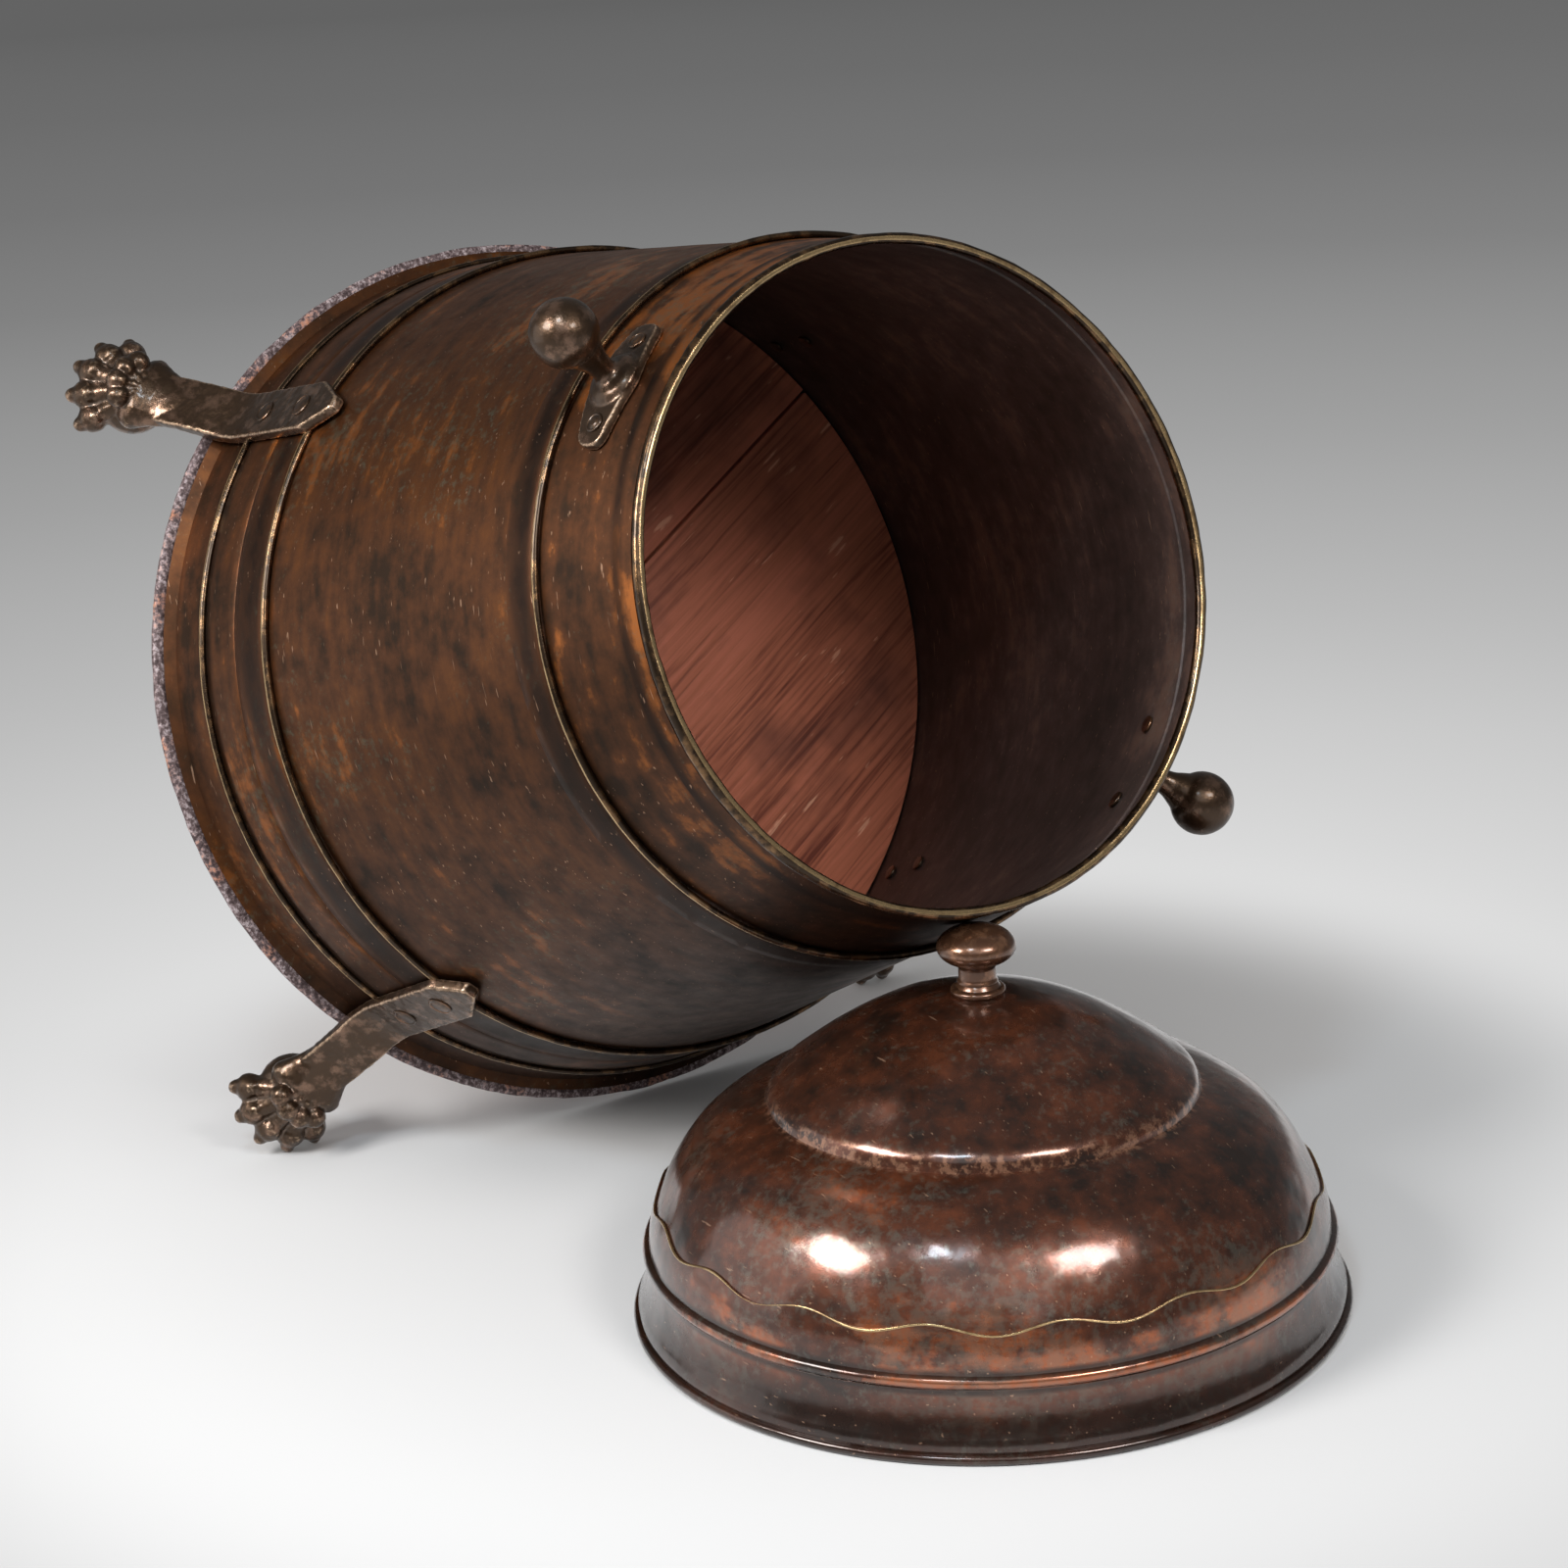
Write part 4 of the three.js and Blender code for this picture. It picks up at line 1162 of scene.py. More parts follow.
@dataclass
class Floorboards:
    """The two boards that make the bin's floor."""

    berth: Berth
    wood: Material
    radius: float = 212.4
    bottom: float = 4.8
    thickness: float = 22
    joint_offset: float = -13.4
    grain_azimuth: float = 122
    play: float = 1.7
    worn_edge: float = 0.9
    segments: int = 192

    def build(self) -> None:
        """Saws the boards out of one disc, along the joint."""
        across = turn(self.grain_azimuth - 90) @ Vector((1, 0, 0))
        boards = (("wide_board", "floor_board_lower", -1), ("narrow_board", "floor_board_upper", 1))
        for name, node, side in boards:
            board = disc(name, self.segments, self.radius, self.bottom, self.thickness)
            edge = across * (self.joint_offset - side * self.play / 2) * MM
            saw(board, edge, across * side)
            ease_edges(board, self.worn_edge, 45)
            self.berth.lay(board, node, self.wood, Slot.BOARD_WOOD)


# ------------------------------------------------------------------ feet and handles
@dataclass
class Rivets:
    """Flush rivets: a flat head in a worn countersink, and a spread tail inside."""

    berth: Berth
    metal: Material
    bin: Bin
    shank: float = 2.6
    tail: float = 4.6
    tail_height: float = 1.1

    def model(self, stack: float, head: float) -> Object:
        """Turns one rivet about Z, with the wall's outer face at Z = 0.

        Args:
            stack: thickness of what lies on the wall, in mm.
            head: radius of the head, in mm.

        Returns:
            The rivet.
        """
        low = -self.bin.sheet - 0.9
        # From the tail, up the shank and over the head, which has a worn groove inside its rim.
        outline = [
            (0, low - self.tail_height),
            *arc((self.tail - 1, low - 0.4), 0.7, -90, 0, 4),
            (self.tail - 0.4, low),
            (self.shank, low),
            (self.shank, stack),
            (head - 0.1, stack),
            (head, stack + 0.3),
            (head - 0.35, stack + 0.75),
            (head - 0.9, stack + 0.8),
            (head - 1.35, stack + 0.45),
            (head - 1.9, stack + 0.6),
            *flowing([(head - 2.6, stack + 0.8), (head / 3, stack + 0.95), (0, stack + 1)], 3),
        ]
        return lathe("rivet", outline, 40)

    def set_rivet(self, rivet: Object, node: str, height: float, azimuth: float) -> None:
        """Sets a copy of a rivet square in the wall.

        Args:
            rivet: the turned rivet.
            node: the frame's node that it stands for.
            height: where it goes through the wall, in mm.
            azimuth: where it goes through the wall, in degrees.
        """
        copy = twin(rivet, f"flush_{node}")
        copy.data.transform(self.bin.on_wall(height))
        self.berth.lay(copy, node, self.metal, Slot.CAST_BRONZE, crease=50, azimuth=azimuth)


@dataclass
class PawFeet:
    """Four cast feet: a riveted strap that swings out into a paw with five toes.

    Sizes are in mm and angles in degrees. The paw is built up from balls, which one
    skin then runs together.
    """

    berth: Berth
    metal: Material
    bin: Bin
    rivets: Rivets
    azimuths: tuple[float, ...] = (45, 135, 226, 315)
    strap_width: float = 28
    strap_thickness: float = 6
    strap_rounding: float = 1.1
    tip_height: float = 110
    tip_width: float = 7
    shoulder_height: float = 92
    instep: float = 16
    sole_drop: float = 54
    beyond_ring: float = 64
    paw_width: float = 55
    pad_height: float = 33
    toes: int = 5
    toe_radius: float = 7.6
    fan_angle: float = 62
    knuckle: float = 6.1
    knuckle_height: float = 27
    claw: float = 2.5
    rivet_heights: tuple[float, float] = (47.5, 82)
    rivet_head: float = 6.2
    voxel: float = 0.85

    def strap(self) -> Object:
        """The strap, cut from its side view and pointed at its top end."""

        def seat(height: float, out: float = 0) -> Point:
            """A point so far out from the strap's seat on the lower band."""
            return (self.bin.radius(height) + 2 * GAP + self.bin.band_thickness + out, height)

        leave = self.bin.lower_wire_bottom[1] - 2 * self.bin.band_wire
        leave_radius = seat(leave)[0]
        edge = self.bin.ring_radius + 2 * GAP
        edge_height = self.bin.ring_thickness + 2 * GAP
        bend = (leave + edge_height) / 2
        thick = self.strap_thickness
        heel = (edge + 0.3 * self.beyond_ring, -0.38 * self.sole_drop)
        top = (heel[0] + 0.5 * self.instep, heel[1] - 0.15 * self.instep)
        outer_edge = (edge + 0.7 * thick, edge_height + thick)
        outline = [
            seat(self.tip_height),
            seat(self.bin.lower_wire_top[1]),
            seat(leave),
            *swing(seat(leave), (0.8 * leave_radius + 0.2 * edge, bend), (edge, edge_height)),
            *swing((edge, edge_height), (edge + 0.4 * (heel[0] - edge), 0.15 * heel[1]), heel),
            top,
            *swing(top, (edge + 1.8 * thick, edge_height - thick / 2), outer_edge),
            *swing(outer_edge, (leave_radius + 1.4 * thick, bend + thick / 2), seat(leave, thick)),
            seat(self.bin.lower_wire_top[1], thick),
            seat(self.tip_height, thick),
        ]
        strap = slab("strap", outline, self.strap_width)
        run = (self.strap_width - self.tip_width) / 2
        rise = self.tip_height - self.shoulder_height
        for side in (-1, 1):
            corner = Vector((0, side * self.strap_width / 2, self.shoulder_height)) * MM
            saw(strap, corner, Vector((0, side * rise, run)).normalized())
        ease_edges(strap, self.strap_rounding, 40)
        return strap

    def ball(self, centre: Sequence[float], radii: Sequence[float]) -> None:
        """Adds one lump of the casting, in mm, to the mesh that is being edited."""
        bpy.ops.mesh.primitive_uv_sphere_add(
            segments=24, ring_count=12, radius=MM, location=Vector(centre) * MM, scale=radii
        )

    def ridge(self, start: Vector, stop: Vector, first: float, last: float) -> None:
        """Adds a ridge of balls between two points, tapering between two radii, all in mm."""
        for share in (0, 0.2, 0.4, 0.6, 0.8, 1):
            self.ball(start.lerp(stop, share), [first + (last - first) * share] * 3)

    def paw(self) -> Object:
        """The paw: a pad, five toes with claws, knuckles between them and tufts behind."""
        fan = (self.paw_width / 2 - self.toe_radius) / math.sin(math.radians(self.fan_angle))
        hub = self.bin.ring_radius + self.beyond_ring - self.claw - self.toe_radius - fan
        step = math.radians(2 * self.fan_angle / (self.toes - 1))

        def spot(angle: float, share: float, height: float) -> Vector:
            """A point above the sole, at a share of the toes' reach from the paw's middle."""
            reach = share * fan
            place = (hub + reach * math.cos(angle), reach * math.sin(angle), height - self.sole_drop)
            return Vector(place)

        bpy.ops.object.select_all(action="DESELECT")
        bpy.ops.mesh.primitive_uv_sphere_add(
            segments=32,
            ring_count=16,
            radius=MM,
            location=spot(0, 0, self.pad_height / 2 - 3) * MM,
            scale=(fan - 4, self.paw_width / 2 - 8, self.pad_height / 2 - 1.5),
        )
        paw = bpy.context.object
        paw.name = paw.data.name = "paw"
        bpy.ops.object.transform_apply(location=True, rotation=False, scale=True)
        bpy.ops.object.mode_set(mode="EDIT")

        # The ankle: overlapping balls that widen from the strap to the pad.
        start = Vector((self.bin.ring_radius + 0.17 * self.beyond_ring, 0, -0.15 * self.sole_drop))
        stop = spot(0, -0.08, self.pad_height - 7)
        half = self.strap_width / 2
        widening = self.paw_width / 2 - half - 6
        for i in range(12):
            share = i / 11
            flare = share**1.7
            radii = (6 + 4.5 * flare, half - 1 + widening * flare, 5.5 + 6.5 * flare)
            self.ball(start.lerp(stop, share), radii)

        # Each toe: its back, its two joints and its claw; then a knuckle and a tuft beside it.
        toe, crown = self.toe_radius, self.pad_height
        for i in range(self.toes):
            angle = i * step - math.radians(self.fan_angle)
            self.ridge(spot(angle, 0.5, 23), spot(angle, 0.85, 12), 4.6, 5.8)
            self.ball(spot(angle, 1, toe + 0.6), [toe] * 3)
            self.ball(spot(angle, 1.02, 1.55 * toe), [0.72 * toe] * 3)
            self.ridge(spot(angle, 1.14, 6.4), spot(angle, 1.27, 4.2), 5, 3.8)
            if i > 0:
                side = angle - step / 2
                self.ball(spot(side, 0.64, self.knuckle_height + 3), [self.knuckle] * 3)
                self.ridge(spot(0.7 * side, -0.35, crown + 3), spot(side, 0.45, crown - 2), 3.2, 3.8)
        bpy.ops.object.mode_set(mode="OBJECT")
        saw(paw, Vector((0, 0, -self.sole_drop)) * MM, Vector((0, 0, -1)))
        return paw

    def build(self) -> None:
        """Models one foot and sets four copies round the bin, each with its two rivets."""
        foot = join(self.paw(), self.strap())
        weld_castings(foot, self.voxel, 2)
        beat(foot, (4, 0.55))
        stack = 2 * GAP + self.bin.band_thickness + self.strap_thickness
        rivet = self.rivets.model(stack, self.rivet_head)
        for number, azimuth in enumerate(self.azimuths, 1):
            copy = twin(foot, f"cast_paw_{number}")
            node = f"paw_foot_{number}"
            self.berth.lay(copy, node, self.metal, Slot.CAST_BRONZE, crease=50, azimuth=azimuth)
            for place, height in zip(("lower", "upper"), self.rivet_heights):
                self.rivets.set_rivet(rivet, f"foot_{number}_{place}_rivet", height, azimuth)
        bpy.data.objects.remove(foot)
        bpy.data.objects.remove(rivet)


@dataclass
class BallHandles:
    """Two cast ball handles on riveted plates below the mouth."""

    berth: Berth
    metal: Material
    bin: Bin
    rivets: Rivets
    azimuth: float = 47.5
    height: float = 318
    plate_thickness: float = 4
    half_length: float = 32
    half_height: float = 13
    ball_radius: float = 15
    ball_distance: float = 36
    neck_radius: float = 5.4
    neck_distance: float = 12
    rivet_spacing: float = 43
    rivet_head: float = 4.6
    voxel: float = 0.7

    def plate(self) -> Object:
        """The plate: a hoop that fits the wall, trimmed to a long lozenge."""
        reach = 1.5 * self.half_height
        low, high = self.height - reach, self.height + reach
        inner = [(self.bin.radius(z) + GAP, z) for z in (low, high)]
        outer = [(r + self.plate_thickness, z) for r, z in reversed(inner)]
        plate = lathe("plate", [*inner, *outer], 192, closed=True)
        a, b = self.half_length, self.half_height
        quarter = [
            (-a, 0),
            *swing((-a, 0), (-a, 0.55 * b), (-0.8 * a, 0.6 * b), 4),
            *swing((-0.8 * a, 0.6 * b), (-0.35 * a, 0.85 * b), (0, b), 6),
        ]
        top = [*quarter, *[(-x, z) for x, z in reversed(quarter[:-1])]]
        lozenge = [*top, *[(x, -z) for x, z in reversed(top[1:-1])]]
        depth = 200  # of the cutter, so that it goes through one side of the hoop only
        cutter = slab("cutter", [(x, z + self.height) for x, z in lozenge], depth)
        cutter.data.transform(turn(90) @ Matrix.Translation((0, -(depth / 2 + 20) * MM, 0)))
        apply_modifier(plate, "BOOLEAN", operation="INTERSECT", object=cutter, solver="EXACT")
        bpy.data.objects.remove(cutter)
        return plate

    def knob(self) -> Object:
        """The ball on its neck, turned about Z and laid square on the wall."""
        root = GAP + 0.5 * self.plate_thickness
        neck = self.neck_distance - root
        outline = [
            (0, root),
            *flowing(
                [
                    (self.half_height, root + 0.2 * neck),
                    (0.82 * self.half_height, root + 0.46 * neck),
                    (1.15 * self.neck_radius, root + 0.66 * neck),
                    (self.neck_radius, self.neck_distance),
                    (1.15 * self.neck_radius, self.neck_distance + 5),
                    (1.5 * self.neck_radius, self.neck_distance + 9.2),
                ],
                4,
            ),
            *arc((0, self.ball_distance), self.ball_radius, -50, 90, 20),
        ]
        knob = lathe("ball", outline, 48)
        knob.data.transform(self.bin.on_wall(self.height))
        return knob

    def build(self) -> None:
        """Models one handle and sets two copies, each with its two rivets."""
        handle = join(self.plate(), self.knob())
        weld_castings(handle, self.voxel, 5)
        beat(handle, (12, 0.5))
        rivet = self.rivets.model(GAP + self.plate_thickness, self.rivet_head)
        reach = self.bin.radius(self.height) + self.plate_thickness
        spread = math.degrees(self.rivet_spacing / 2 / reach)
        for number in (1, 2):
            azimuth = self.azimuth + 180 * (number - 1)
            copy = twin(handle, f"cast_ball_{number}")
            node = f"ball_handle_{number}"
            self.berth.lay(copy, node, self.metal, Slot.CAST_BRONZE, crease=60, azimuth=azimuth)
            for place, side in (("left", -spread), ("right", spread)):
                node = f"handle_{number}_{place}_rivet"
                self.rivets.set_rivet(rivet, node, self.height, azimuth + side)
        bpy.data.objects.remove(handle)
        bpy.data.objects.remove(rivet)


# ------------------------------------------------------------------ the lid
@dataclass
class Lid:
    """The domed lid: skirt, bead, dome with a wavy strip, and raised crown.

    Points are (radius, height) above the rim. Dome, strip and crown take the same
    dents, so that they stay together.
    """

    berth: Berth
    copper: Material
    edge_brass: Material
    sheet: float = 1.4
    rim_radius: float = 160.5
    lip_height: float = 4.2
    lip_width: float = 3.4
    skirt_top: float = 29.7
    dome_edge: Point = (150.3, 21)
    bead_height: float = 5.2
    bead_projection: float = 2.8
    strip_thickness: float = 0.9
    strip_seat: float = 0.15
    strip_edge: float = 0.45
    steps_per_wave: int = 16
    wave_height: float = 53
    wave_swing: float = 2.1
    waves: int = 17
    crest_azimuth: float = -26
    shoulder: tuple[Point, ...] = (
        (148.4, 47),
        (142.9, 60),
        (134.6, 74),
        (124.4, 84.4),
        (112.0, 92.2),
        (99.4, 97.2),
        (88.0, 100.4),
    )
    crown: tuple[Point, ...] = (
        (93.4, 104.2),
        (85.5, 110.6),
        (71.4, 120.4),
        (55.0, 130.2),
        (38.0, 137.2),
        (20.0, 141.2),
        (4.0, 142.2),
    )
    crown_foot: float = 95.6
    segments: int = 204
    dents: tuple[Point, ...] = ((62, 1.1), (24, 0.5))

    @property
    def face(self) -> list[Point]:
        """Outer face of the dome, from its lower edge to the crown."""
        start = self.skirt_top + GAP + self.bead_height
        radius = self.dome_edge[0]
        return [self.dome_edge, (radius, start - 6), *flowing([(radius, start), *self.shoulder], 6)]

    def build_skirt(self) -> None:
        """The skirt sweeps in and up from its rolled lip to the bead."""
        top = self.dome_edge[0] + GAP + self.sheet
        lip = self.lip_height
        flare, rise = self.rim_radius - 0.6 - top, self.skirt_top - lip
        shares = [i / 9 for i in range(1, 10)]
        sweep = [(top + flare * (1 - share) ** 2.4, lip + share * rise) for share in shares]
        inner = [(r - self.sheet, z) for r, z in reversed(sweep)]
        middle = (self.rim_radius - lip / 2 - 0.1, lip / 2)
        roll = arc(middle, lip / 2, -90, 110, 8)
        outline = [(self.rim_radius - self.lip_width, 0.2), *roll, *sweep, *inner]
        skirt = lathe("lid_skirt_sheet", outline, self.segments, closed=True)
        beat(skirt, (40, 0.5))
        self.berth.lay(skirt, "lid_skirt", self.copper, Slot.LID_COPPER, crease=60)

    def build_bead(self) -> None:
        """The half-round bead over the joint of skirt and dome."""
        bottom = self.skirt_top + GAP
        seat = self.dome_edge[0] + GAP
        middle = seat + self.sheet - 0.3
        half = self.bead_height / 2
        fullness = self.bead_projection / self.bead_height + 0.46
        curve = arc((middle, bottom + half), half, -80, 80, 10)
        outline = [
            (seat, bottom - 0.5),
            (middle + 0.9, bottom - 0.5),
            (middle + 0.5, bottom + 0.15),
            *[(middle + (r - middle) * fullness, z) for r, z in curve],
            (middle + 0.3, bottom + self.bead_height + 0.1),
            (seat, bottom + self.bead_height + 0.3),
        ]
        bead = lathe("lid_bead_sheet", outline, self.segments, closed=True)
        beat(bead, (30, 0.3))
        self.berth.lay(bead, "lid_seam_bead", self.copper, Slot.LID_COPPER, crease=60)

    def build_dome(self) -> None:
        """The dome, raised from one sheet."""
        dome = lathe("lid_dome_sheet", straight(self.face, 5), self.segments)
        beat(dome, *self.dents)
        apply_modifier(dome, "SOLIDIFY", thickness=self.sheet * MM, offset=-1, use_rim=True)
        self.berth.lay(dome, "lid_dome", self.copper, Slot.LID_COPPER)

    def wave(self, angle: float) -> float:
        """Height of the strip's upper edge at an angle, in mm and radians."""
        phase = self.waves * (angle - math.radians(self.crest_azimuth))
        return self.wave_height + self.wave_swing * math.cos(phase)

    def on_dome(self, angle: float, height: float, out: float) -> Vector:
        """A point in metres, so far in mm out from the strip's seat on the dome."""
        reach = radius_at(self.face, height) + self.strip_seat + out
        return Vector((reach * math.cos(angle), reach * math.sin(angle), height)) * MM

    def build_strip(self) -> None:
        """The strip along the foot of the dome, cut to a wavy upper edge, and its bright edge."""
        start = self.skirt_top + GAP + self.bead_height
        levels = [start + (self.wave_height - start) * i / 5 for i in range(6)]
        strip = lathe("lid_wavy_strip", [(radius_at(self.face, z), z) for z in levels], self.segments)
        for vertex in strip.data.vertices:
            x, y, z = vertex.co / MM
            angle = math.atan2(y, x)
            share = (z - start) / (self.wave_height - start)
            height = start + share * (self.wave(angle) - start)
            vertex.co = self.on_dome(angle, height, 0)
        beat(strip, *self.dents)
        apply_modifier(strip, "SOLIDIFY", thickness=self.strip_thickness * MM, offset=1, use_rim=True)
        self.berth.lay(strip, "lid_wavy_band", self.copper, Slot.LID_COPPER)
        self.build_strip_edge()

    def build_strip_edge(self) -> None:
        """The burnished edge of the strip: a fine wire that follows its waves."""
        bpy.ops.object.select_all(action="DESELECT")
        bpy.ops.mesh.primitive_circle_add(vertices=5, radius=self.strip_edge * MM, location=(0, 0, 0))
        profile = bpy.context.object
        bpy.ops.object.mode_set(mode="EDIT")
        bpy.ops.transform.rotate(value=math.pi / 2, orient_axis="X", center_override=(0, 0, 0))
        bpy.ops.object.mode_set(mode="OBJECT")
        count = self.waves * self.steps_per_wave
        angles = [math.tau * i / count for i in range(count)]
        out = 0.8 * self.strip_thickness
        places = [self.on_dome(angle, self.wave(angle), out) for angle in angles]
        select_only(profile)
        bpy.ops.object.mode_set(mode="EDIT")
        bpy.ops.mesh.select_all(action="SELECT")
        bpy.ops.transform.translate(value=places[0])
        for before, after in zip(places, [*places[1:], places[0]]):
            bpy.ops.mesh.extrude_region_move(TRANSFORM_OT_translate={"value": after - before})
            bpy.ops.transform.rotate(value=-math.tau / count, orient_axis="Z", center_override=after)
        tidy_mesh()
        profile.name = profile.data.name = "lid_strip_edge"
        beat(profile, *self.dents)
        self.berth.lay(profile, None, self.edge_brass, Slot.WORN_WIRE, crease=80)

    def build_crown(self) -> None:
        """The crown: a beaten cap whose turned-out foot laps onto the dome."""
        heights = sorted(self.face, key=lambda point: point[0])
        foot_height = next(z for r, z in heights if r >= self.crown_foot)
        outer = [
            (self.crown_foot + 1.2, foot_height - 0.4),
            (self.crown_foot + 0.7, foot_height + 0.25),
            *flowing([(self.crown_foot, foot_height + 0.7), *self.crown], 6),
        ]
        crown = lathe("lid_crown_sheet", straight(outer, 4), self.segments)
        beat(crown, *self.dents)
        apply_modifier(crown, "SOLIDIFY", thickness=self.sheet * MM, offset=-1, use_rim=True)
        self.berth.lay(crown, "lid_crown", self.copper, Slot.LID_COPPER)

    def build(self) -> None:
        """Builds the lid's sheets."""
        self.build_skirt()
        self.build_bead()
        self.build_dome()
        self.build_strip()
        self.build_crown()


@dataclass
class LidKnob:
    """The turned knob on its collar, with the nut that holds it from inside."""

    berth: Berth
    brass: Material
    crown_top: float = 142.2
    sheet: float = 1.4
    radius: float = 17.5
    depth: float = 18.6
    top: float = 173.3
    neck: float = 7.6
    stud: float = 3.6
    stud_end: float = 2.5
    collar_radius: float = 12.2
    collar_height: float = 5
    nut_radius: float = 7.5
    nut_height: float = 5

    def build(self) -> None:
        """Turns the collar and the knob and cuts the nut."""
        low = self.crown_top + 0.2
        collar = lathe(
            "knob_collar_ring",
            [
                (self.stud + 0.3, low),
                (self.collar_radius - 1.2, low - 0.6),
                *arc((self.collar_radius - 1.5, low + 1.4), 1.5, -60, 100, 7),
                *flowing([(9.9, low + 3.1), (9.2, low + 4.2), (8.6, low + self.collar_height)], 3),
                (self.stud + 0.3, low + self.collar_height),
            ],
            96,
            closed=True,
        )
        self.berth.lay(collar, "lid_knob_collar", self.brass, Slot.KNOB_BRASS, crease=50)

        foot = low + self.collar_height + GAP
        inside = self.crown_top - self.sheet - GAP - self.nut_height - self.stud_end
        middle = self.top - self.depth / 2
        cap = [
            (self.neck + 1.4, foot),
            (self.neck + 1.4, foot + 0.7),
            (self.neck + 0.9, foot + 1.3),
            *flowing(
                [
                    (self.neck + 0.7, foot + 2.2),
                    (self.neck + 0.7, middle - self.depth / 2 - 0.4),
                    (self.neck + 1.3, middle - 0.47 * self.depth),
                ],
                5,
            ),
        ]
        half = self.depth / 2
        cap += [(self.radius * r, middle + half * z) for r, z in arc((0, 0), 1, -55, 90, 21)]
        knob = lathe("turned_knob", [(0, inside), (self.stud, inside), (self.stud, foot), *cap], 96)
        beat(knob, (16, 0.35))
        self.berth.lay(knob, "lid_knob", self.brass, Slot.KNOB_BRASS, crease=50)

        nut_foot = self.crown_top - self.sheet - GAP - self.nut_height
        nut = disc("hexagonal_nut", 6, self.nut_radius, nut_foot, self.nut_height)
        ease_edges(nut, 0.6)
        self.berth.lay(nut, "lid_knob_nut", self.brass, Slot.KNOB_BRASS)


# ------------------------------------------------------------------ the studio
@dataclass
class Softbox:
    """A soft lamp, placed by the direction in which the lid sees it.

    Angles are in degrees, lengths in metres and the radiance in W per sr and square metre.
    """

    name: str
    azimuth: float
    elevation: float
    width: float
    height: float
    radiance: float
    tint: str
    distance: float = 1.5

    def build(self, aim: Vector) -> None:
        """Hangs the lamp so that it faces a point.

        Args:
            aim: the point, in metres.
        """
        a, e = math.radians(self.azimuth), math.radians(self.elevation)
        towards = Vector((math.cos(a) * math.cos(e), math.sin(a) * math.cos(e), math.sin(e)))
        data = bpy.data.lights.new(self.name, "AREA")
        data.shape = "RECTANGLE"
        data.size = self.width
        data.size_y = self.height
        data.energy = self.radiance * math.pi * self.width * self.height
        data.color = colour(self.tint)[:3]
        lamp = bpy.data.objects.new(self.name, data)
        lamp.location = aim + towards * self.distance
        lamp.rotation_euler = towards.to_track_quat("Z", "Y").to_euler()
        bpy.context.scene.collection.objects.link(lamp)


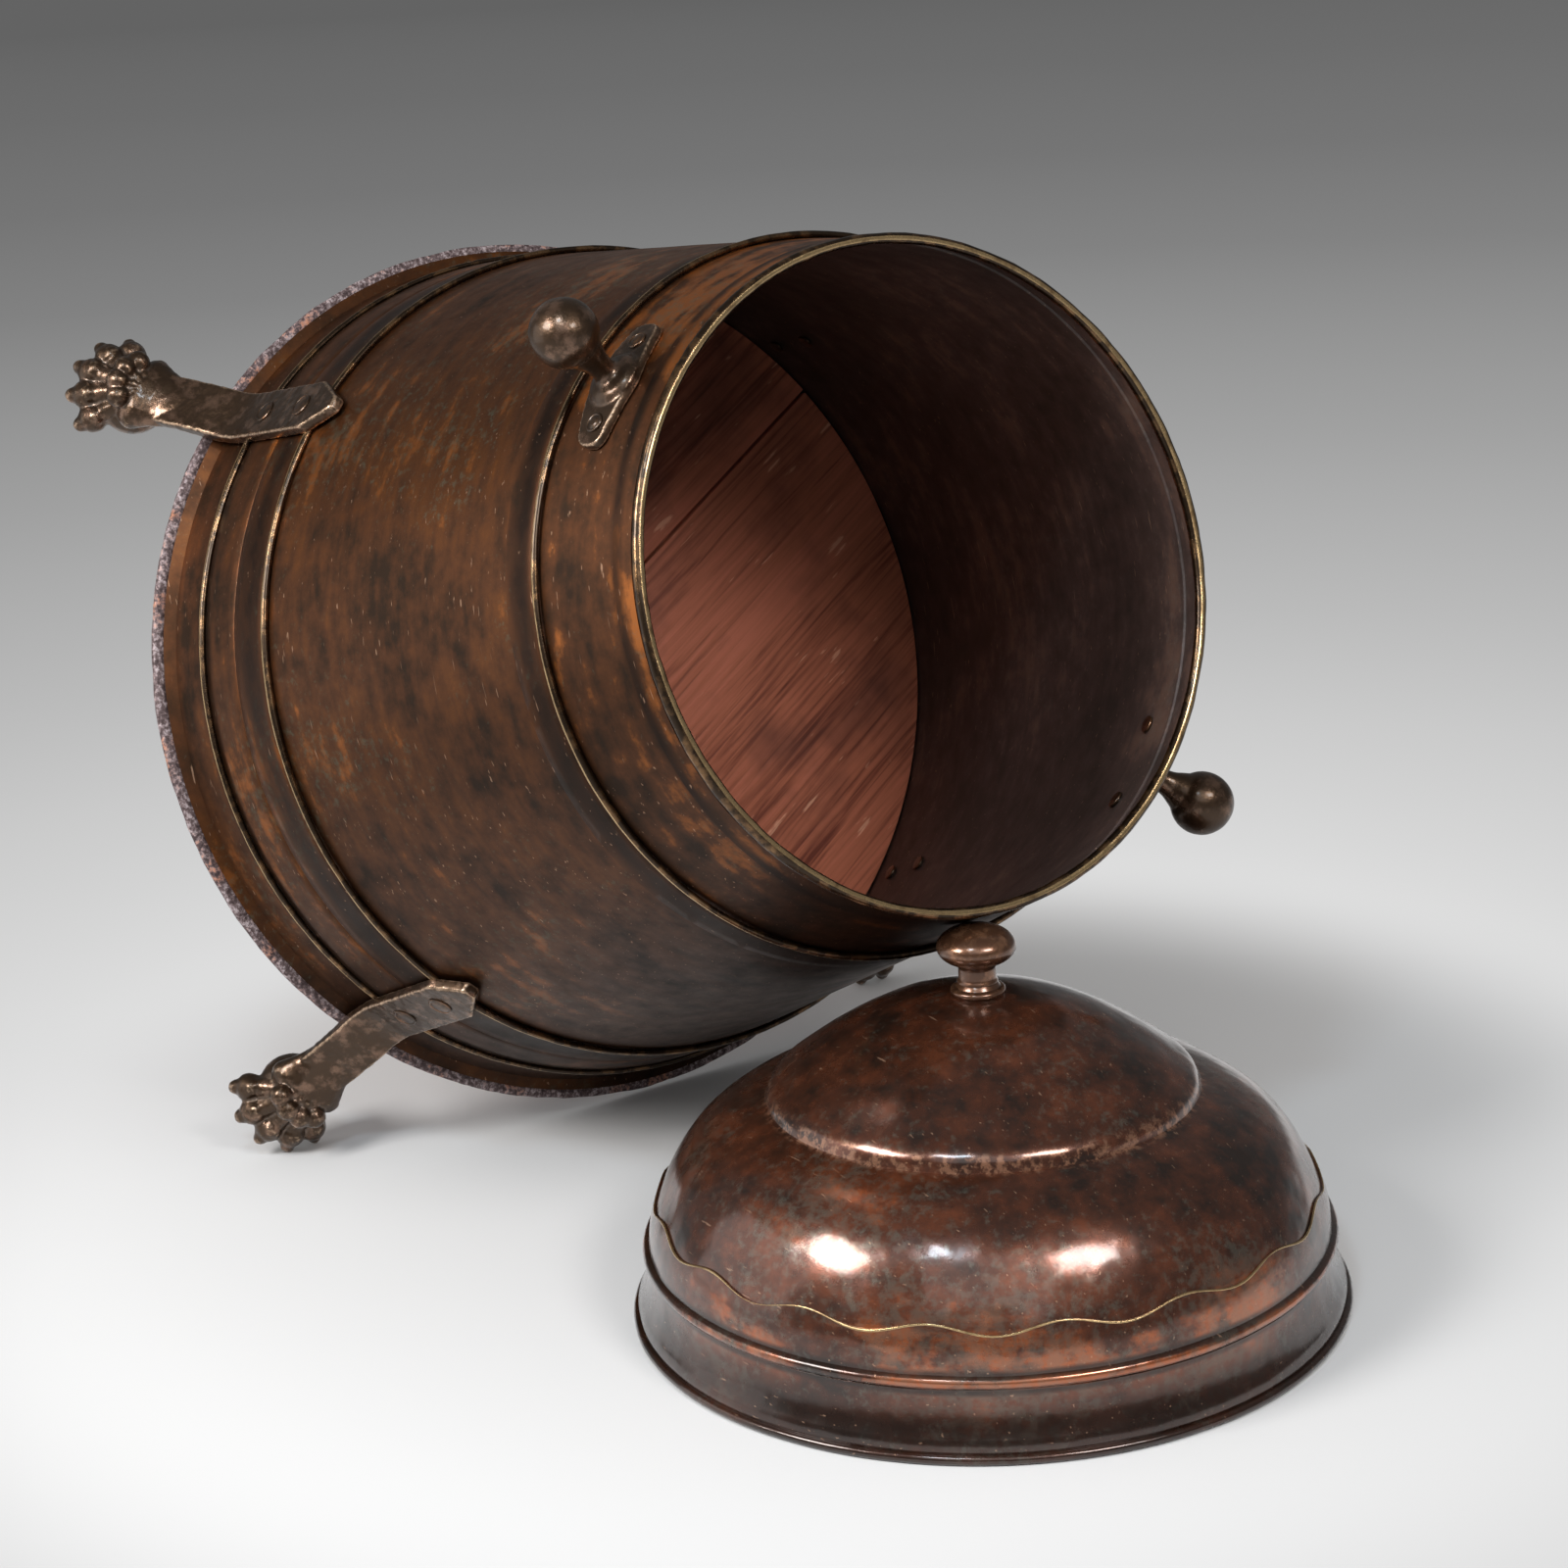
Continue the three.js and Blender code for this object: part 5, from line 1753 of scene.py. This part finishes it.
@dataclass
class Studio:
    """Floor, backdrop, lamps and camera.

    Camera points are in mm and its roll in degrees. The backdrop lists a distance from
    the middle in metres and the grey that is seen there; the paper, which keeps the
    shadows, fades into it between two distances.
    """

    aim: Vector
    camera_place: tuple[float, float, float] = (1129.8, -749.2, 585.3)
    camera_aim: tuple[float, float, float] = (-1.6, -2.5, 200.2)
    camera_roll: float = -3.36
    lens: float = 67.5
    floor_size: float = 160
    paper: float = 0.66
    sky: float = 0.36
    fade: tuple[float, float] = (0.3, 0.54)
    ramp_from: float = 0.2
    ramp_to: float = 45
    backdrop: tuple[tuple[float, float], ...] = (
        (0.25, 0.93),
        (0.5, 0.73),
        (0.9, 0.59),
        (1.25, 0.495),
        (2.2, 0.355),
        (4.4, 0.222),
        (7.0, 0.177),
        (13.0, 0.15),
        (40.0, 0.125),
    )
    lamps: tuple[Softbox, ...] = (
        Softbox("left_softbox", -98.6, 38, 0.54, 0.46, 21.5, "#fffdfb"),
        Softbox("right_softbox", 1, 45, 0.44, 0.32, 21.5, "#fffcfa"),
        Softbox("top_softbox", -59, 57, 0.2, 0.17, 34.0, "#dcf0ff"),
        Softbox("left_wall_bounce", -124, 14, 1.0, 0.9, 0.9, "#ffffff"),
        Softbox("front_bounce", -37, 42, 1.6, 1.2, 0.9, "#ffffff", 2.2),
    )

    def build_camera(self) -> None:
        """Sets the camera at the photograph's place and lens."""
        data = bpy.data.cameras.new("camera")
        data.lens = self.lens
        data.clip_start, data.clip_end = 0.05, 200
        camera = bpy.data.objects.new("camera", data)
        place, aim = Vector(self.camera_place) * MM, Vector(self.camera_aim) * MM
        camera.rotation_mode = "QUATERNION"
        camera.location = place
        roll = Quaternion((0, 0, 1), math.radians(self.camera_roll))
        camera.rotation_quaternion = (aim - place).to_track_quat("-Z", "Y") @ roll
        bpy.context.scene.collection.objects.link(camera)
        bpy.context.scene.camera = camera

    def seen(self, add: AddNode) -> Node:
        """1 for rays that see the backdrop, 0 for those that carry light."""
        path = add("LightPath").outputs
        seen = path["Is Camera Ray"]
        for ray in ("Is Glossy Ray", "Is Transmission Ray"):
            seen = add("Math", seen, path[ray], operation="MAXIMUM")
        return seen

    def build_floor(self) -> None:
        """A paper floor that keeps the shadows and darkens away from the object."""
        bpy.ops.object.select_all(action="DESELECT")
        bpy.ops.mesh.primitive_plane_add(size=self.floor_size, location=(0, 0, 0))
        floor = bpy.context.object
        floor.name = "paper_floor"
        material, add = new_material("seamless_paper")
        spot = add("TexCoord").outputs["Object"]
        reach = add("VectorMath", spot, operation="LENGTH")
        # Distance on a logarithmic ramp, so that near and far tones both have room.
        log = add("Math", reach, 10.0, operation="LOGARITHM")
        low, high = math.log10(self.ramp_from), math.log10(self.ramp_to)
        share = add("MapRange", log, low, high)
        stops = [((math.log10(r) - low) / (high - low), grey(tone)) for r, tone in self.backdrop]
        glow = add("Emission", add("ValToRGB", share, stops=stops), 1.0)
        paper = add("BsdfDiffuse", grey(self.paper))
        fade = add("MapRange", reach, *self.fade, interpolation_type="SMOOTHERSTEP")
        used = add("Math", fade, self.seen(add), operation="MULTIPLY")
        add("OutputMaterial", add("MixShader", used, paper, glow))
        floor.data.materials.append(material)

    def build_world(self) -> None:
        """A plain grey room: even light, with the backdrop's grey where it is seen."""
        world = bpy.data.worlds.new("grey_room")
        bpy.context.scene.world = world
        world.use_nodes = True
        world.node_tree.nodes.clear()
        add = partial(add_node, world.node_tree)
        light = add("Background", grey(1.0), self.sky)
        wall = add("Background", grey(self.backdrop[-1][1]), 1.0)
        add("OutputWorld", add("MixShader", self.seen(add), light, wall))

    def build(self) -> None:
        """Builds the studio."""
        self.build_camera()
        self.build_floor()
        self.build_world()
        for lamp in self.lamps:
            lamp.build(self.aim)
        bpy.context.scene.view_settings.view_transform = "Standard"


# ------------------------------------------------------------------ places
def middle_of(node: str) -> Vector:
    """Middle of a node's box, in metres."""
    low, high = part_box(node)
    return (low + high) / 2


def bin_place(low_wire_height: float) -> Matrix:
    """Where the bin's upright axes lie, from two of its round wires.

    Args:
        low_wire_height: height of the lowest wire above the iron ring's sole, in mm.

    Returns:
        The matrix from upright to lying back.
    """
    low, high = middle_of("lower_band_bottom_wire"), middle_of("mouth_rim_wire")
    up = (high - low).normalized()
    side = Vector((0, 1, 0))
    front = side.cross(up)
    origin = low - up * low_wire_height * MM
    place = Matrix((front, side, up)).transposed().to_4x4()
    place.translation = origin
    return place


def lid_place() -> Matrix:
    """Where the lid's upright axes stand, from its skirt."""
    middle = middle_of("lid_skirt")
    low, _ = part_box("lid_skirt")
    return Matrix.Translation((middle.x, middle.y, low.z))


def main() -> None:
    logging.basicConfig(level=logging.INFO, format="%(name)s: %(message)s")
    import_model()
    bpy.ops.object.select_all(action="DESELECT")
    bpy.context.tool_settings.mesh_select_mode = (True, False, False)

    bin_berth = Berth(Body.SCUTTLE, bin_place(Bin.lower_wire_bottom[1]))
    lid_berth = Berth(Body.LID, lid_place())

    copper = BROWNED_COPPER.material(bin_berth.place)
    soot = SOOTED_COPPER.material(bin_berth.place)
    wire, rubbed_highlight_wire = DRAWN_BRASS.material(), RUBBED_HIGHLIGHT_BRASS.material()
    scuttle = Bin(bin_berth, copper, soot, wire, rubbed_highlight_wire, RUSTED_IRON.material())
    scuttle.build()
    along_grain = bin_berth.place @ turn(Floorboards.grain_azimuth)
    Floorboards(bin_berth, OLD_PINE.material(along_grain)).build()
    rivets = Rivets(bin_berth, RIVET_METAL.material(), scuttle)
    bronze = CAST_BRONZE.material()
    PawFeet(bin_berth, bronze, scuttle, rivets).build()
    BallHandles(bin_berth, bronze, scuttle, rivets).build()
    Lid(lid_berth, HANDLED_COPPER.material(lid_berth.place), rubbed_highlight_wire).build()
    LidKnob(lid_berth, KNOB_BRASS.material()).build()
    Studio(aim=lid_berth.place.translation + Vector((0, 0, LAMP_AIM)) * MM).build()


if __name__ == "__main__":
    main()
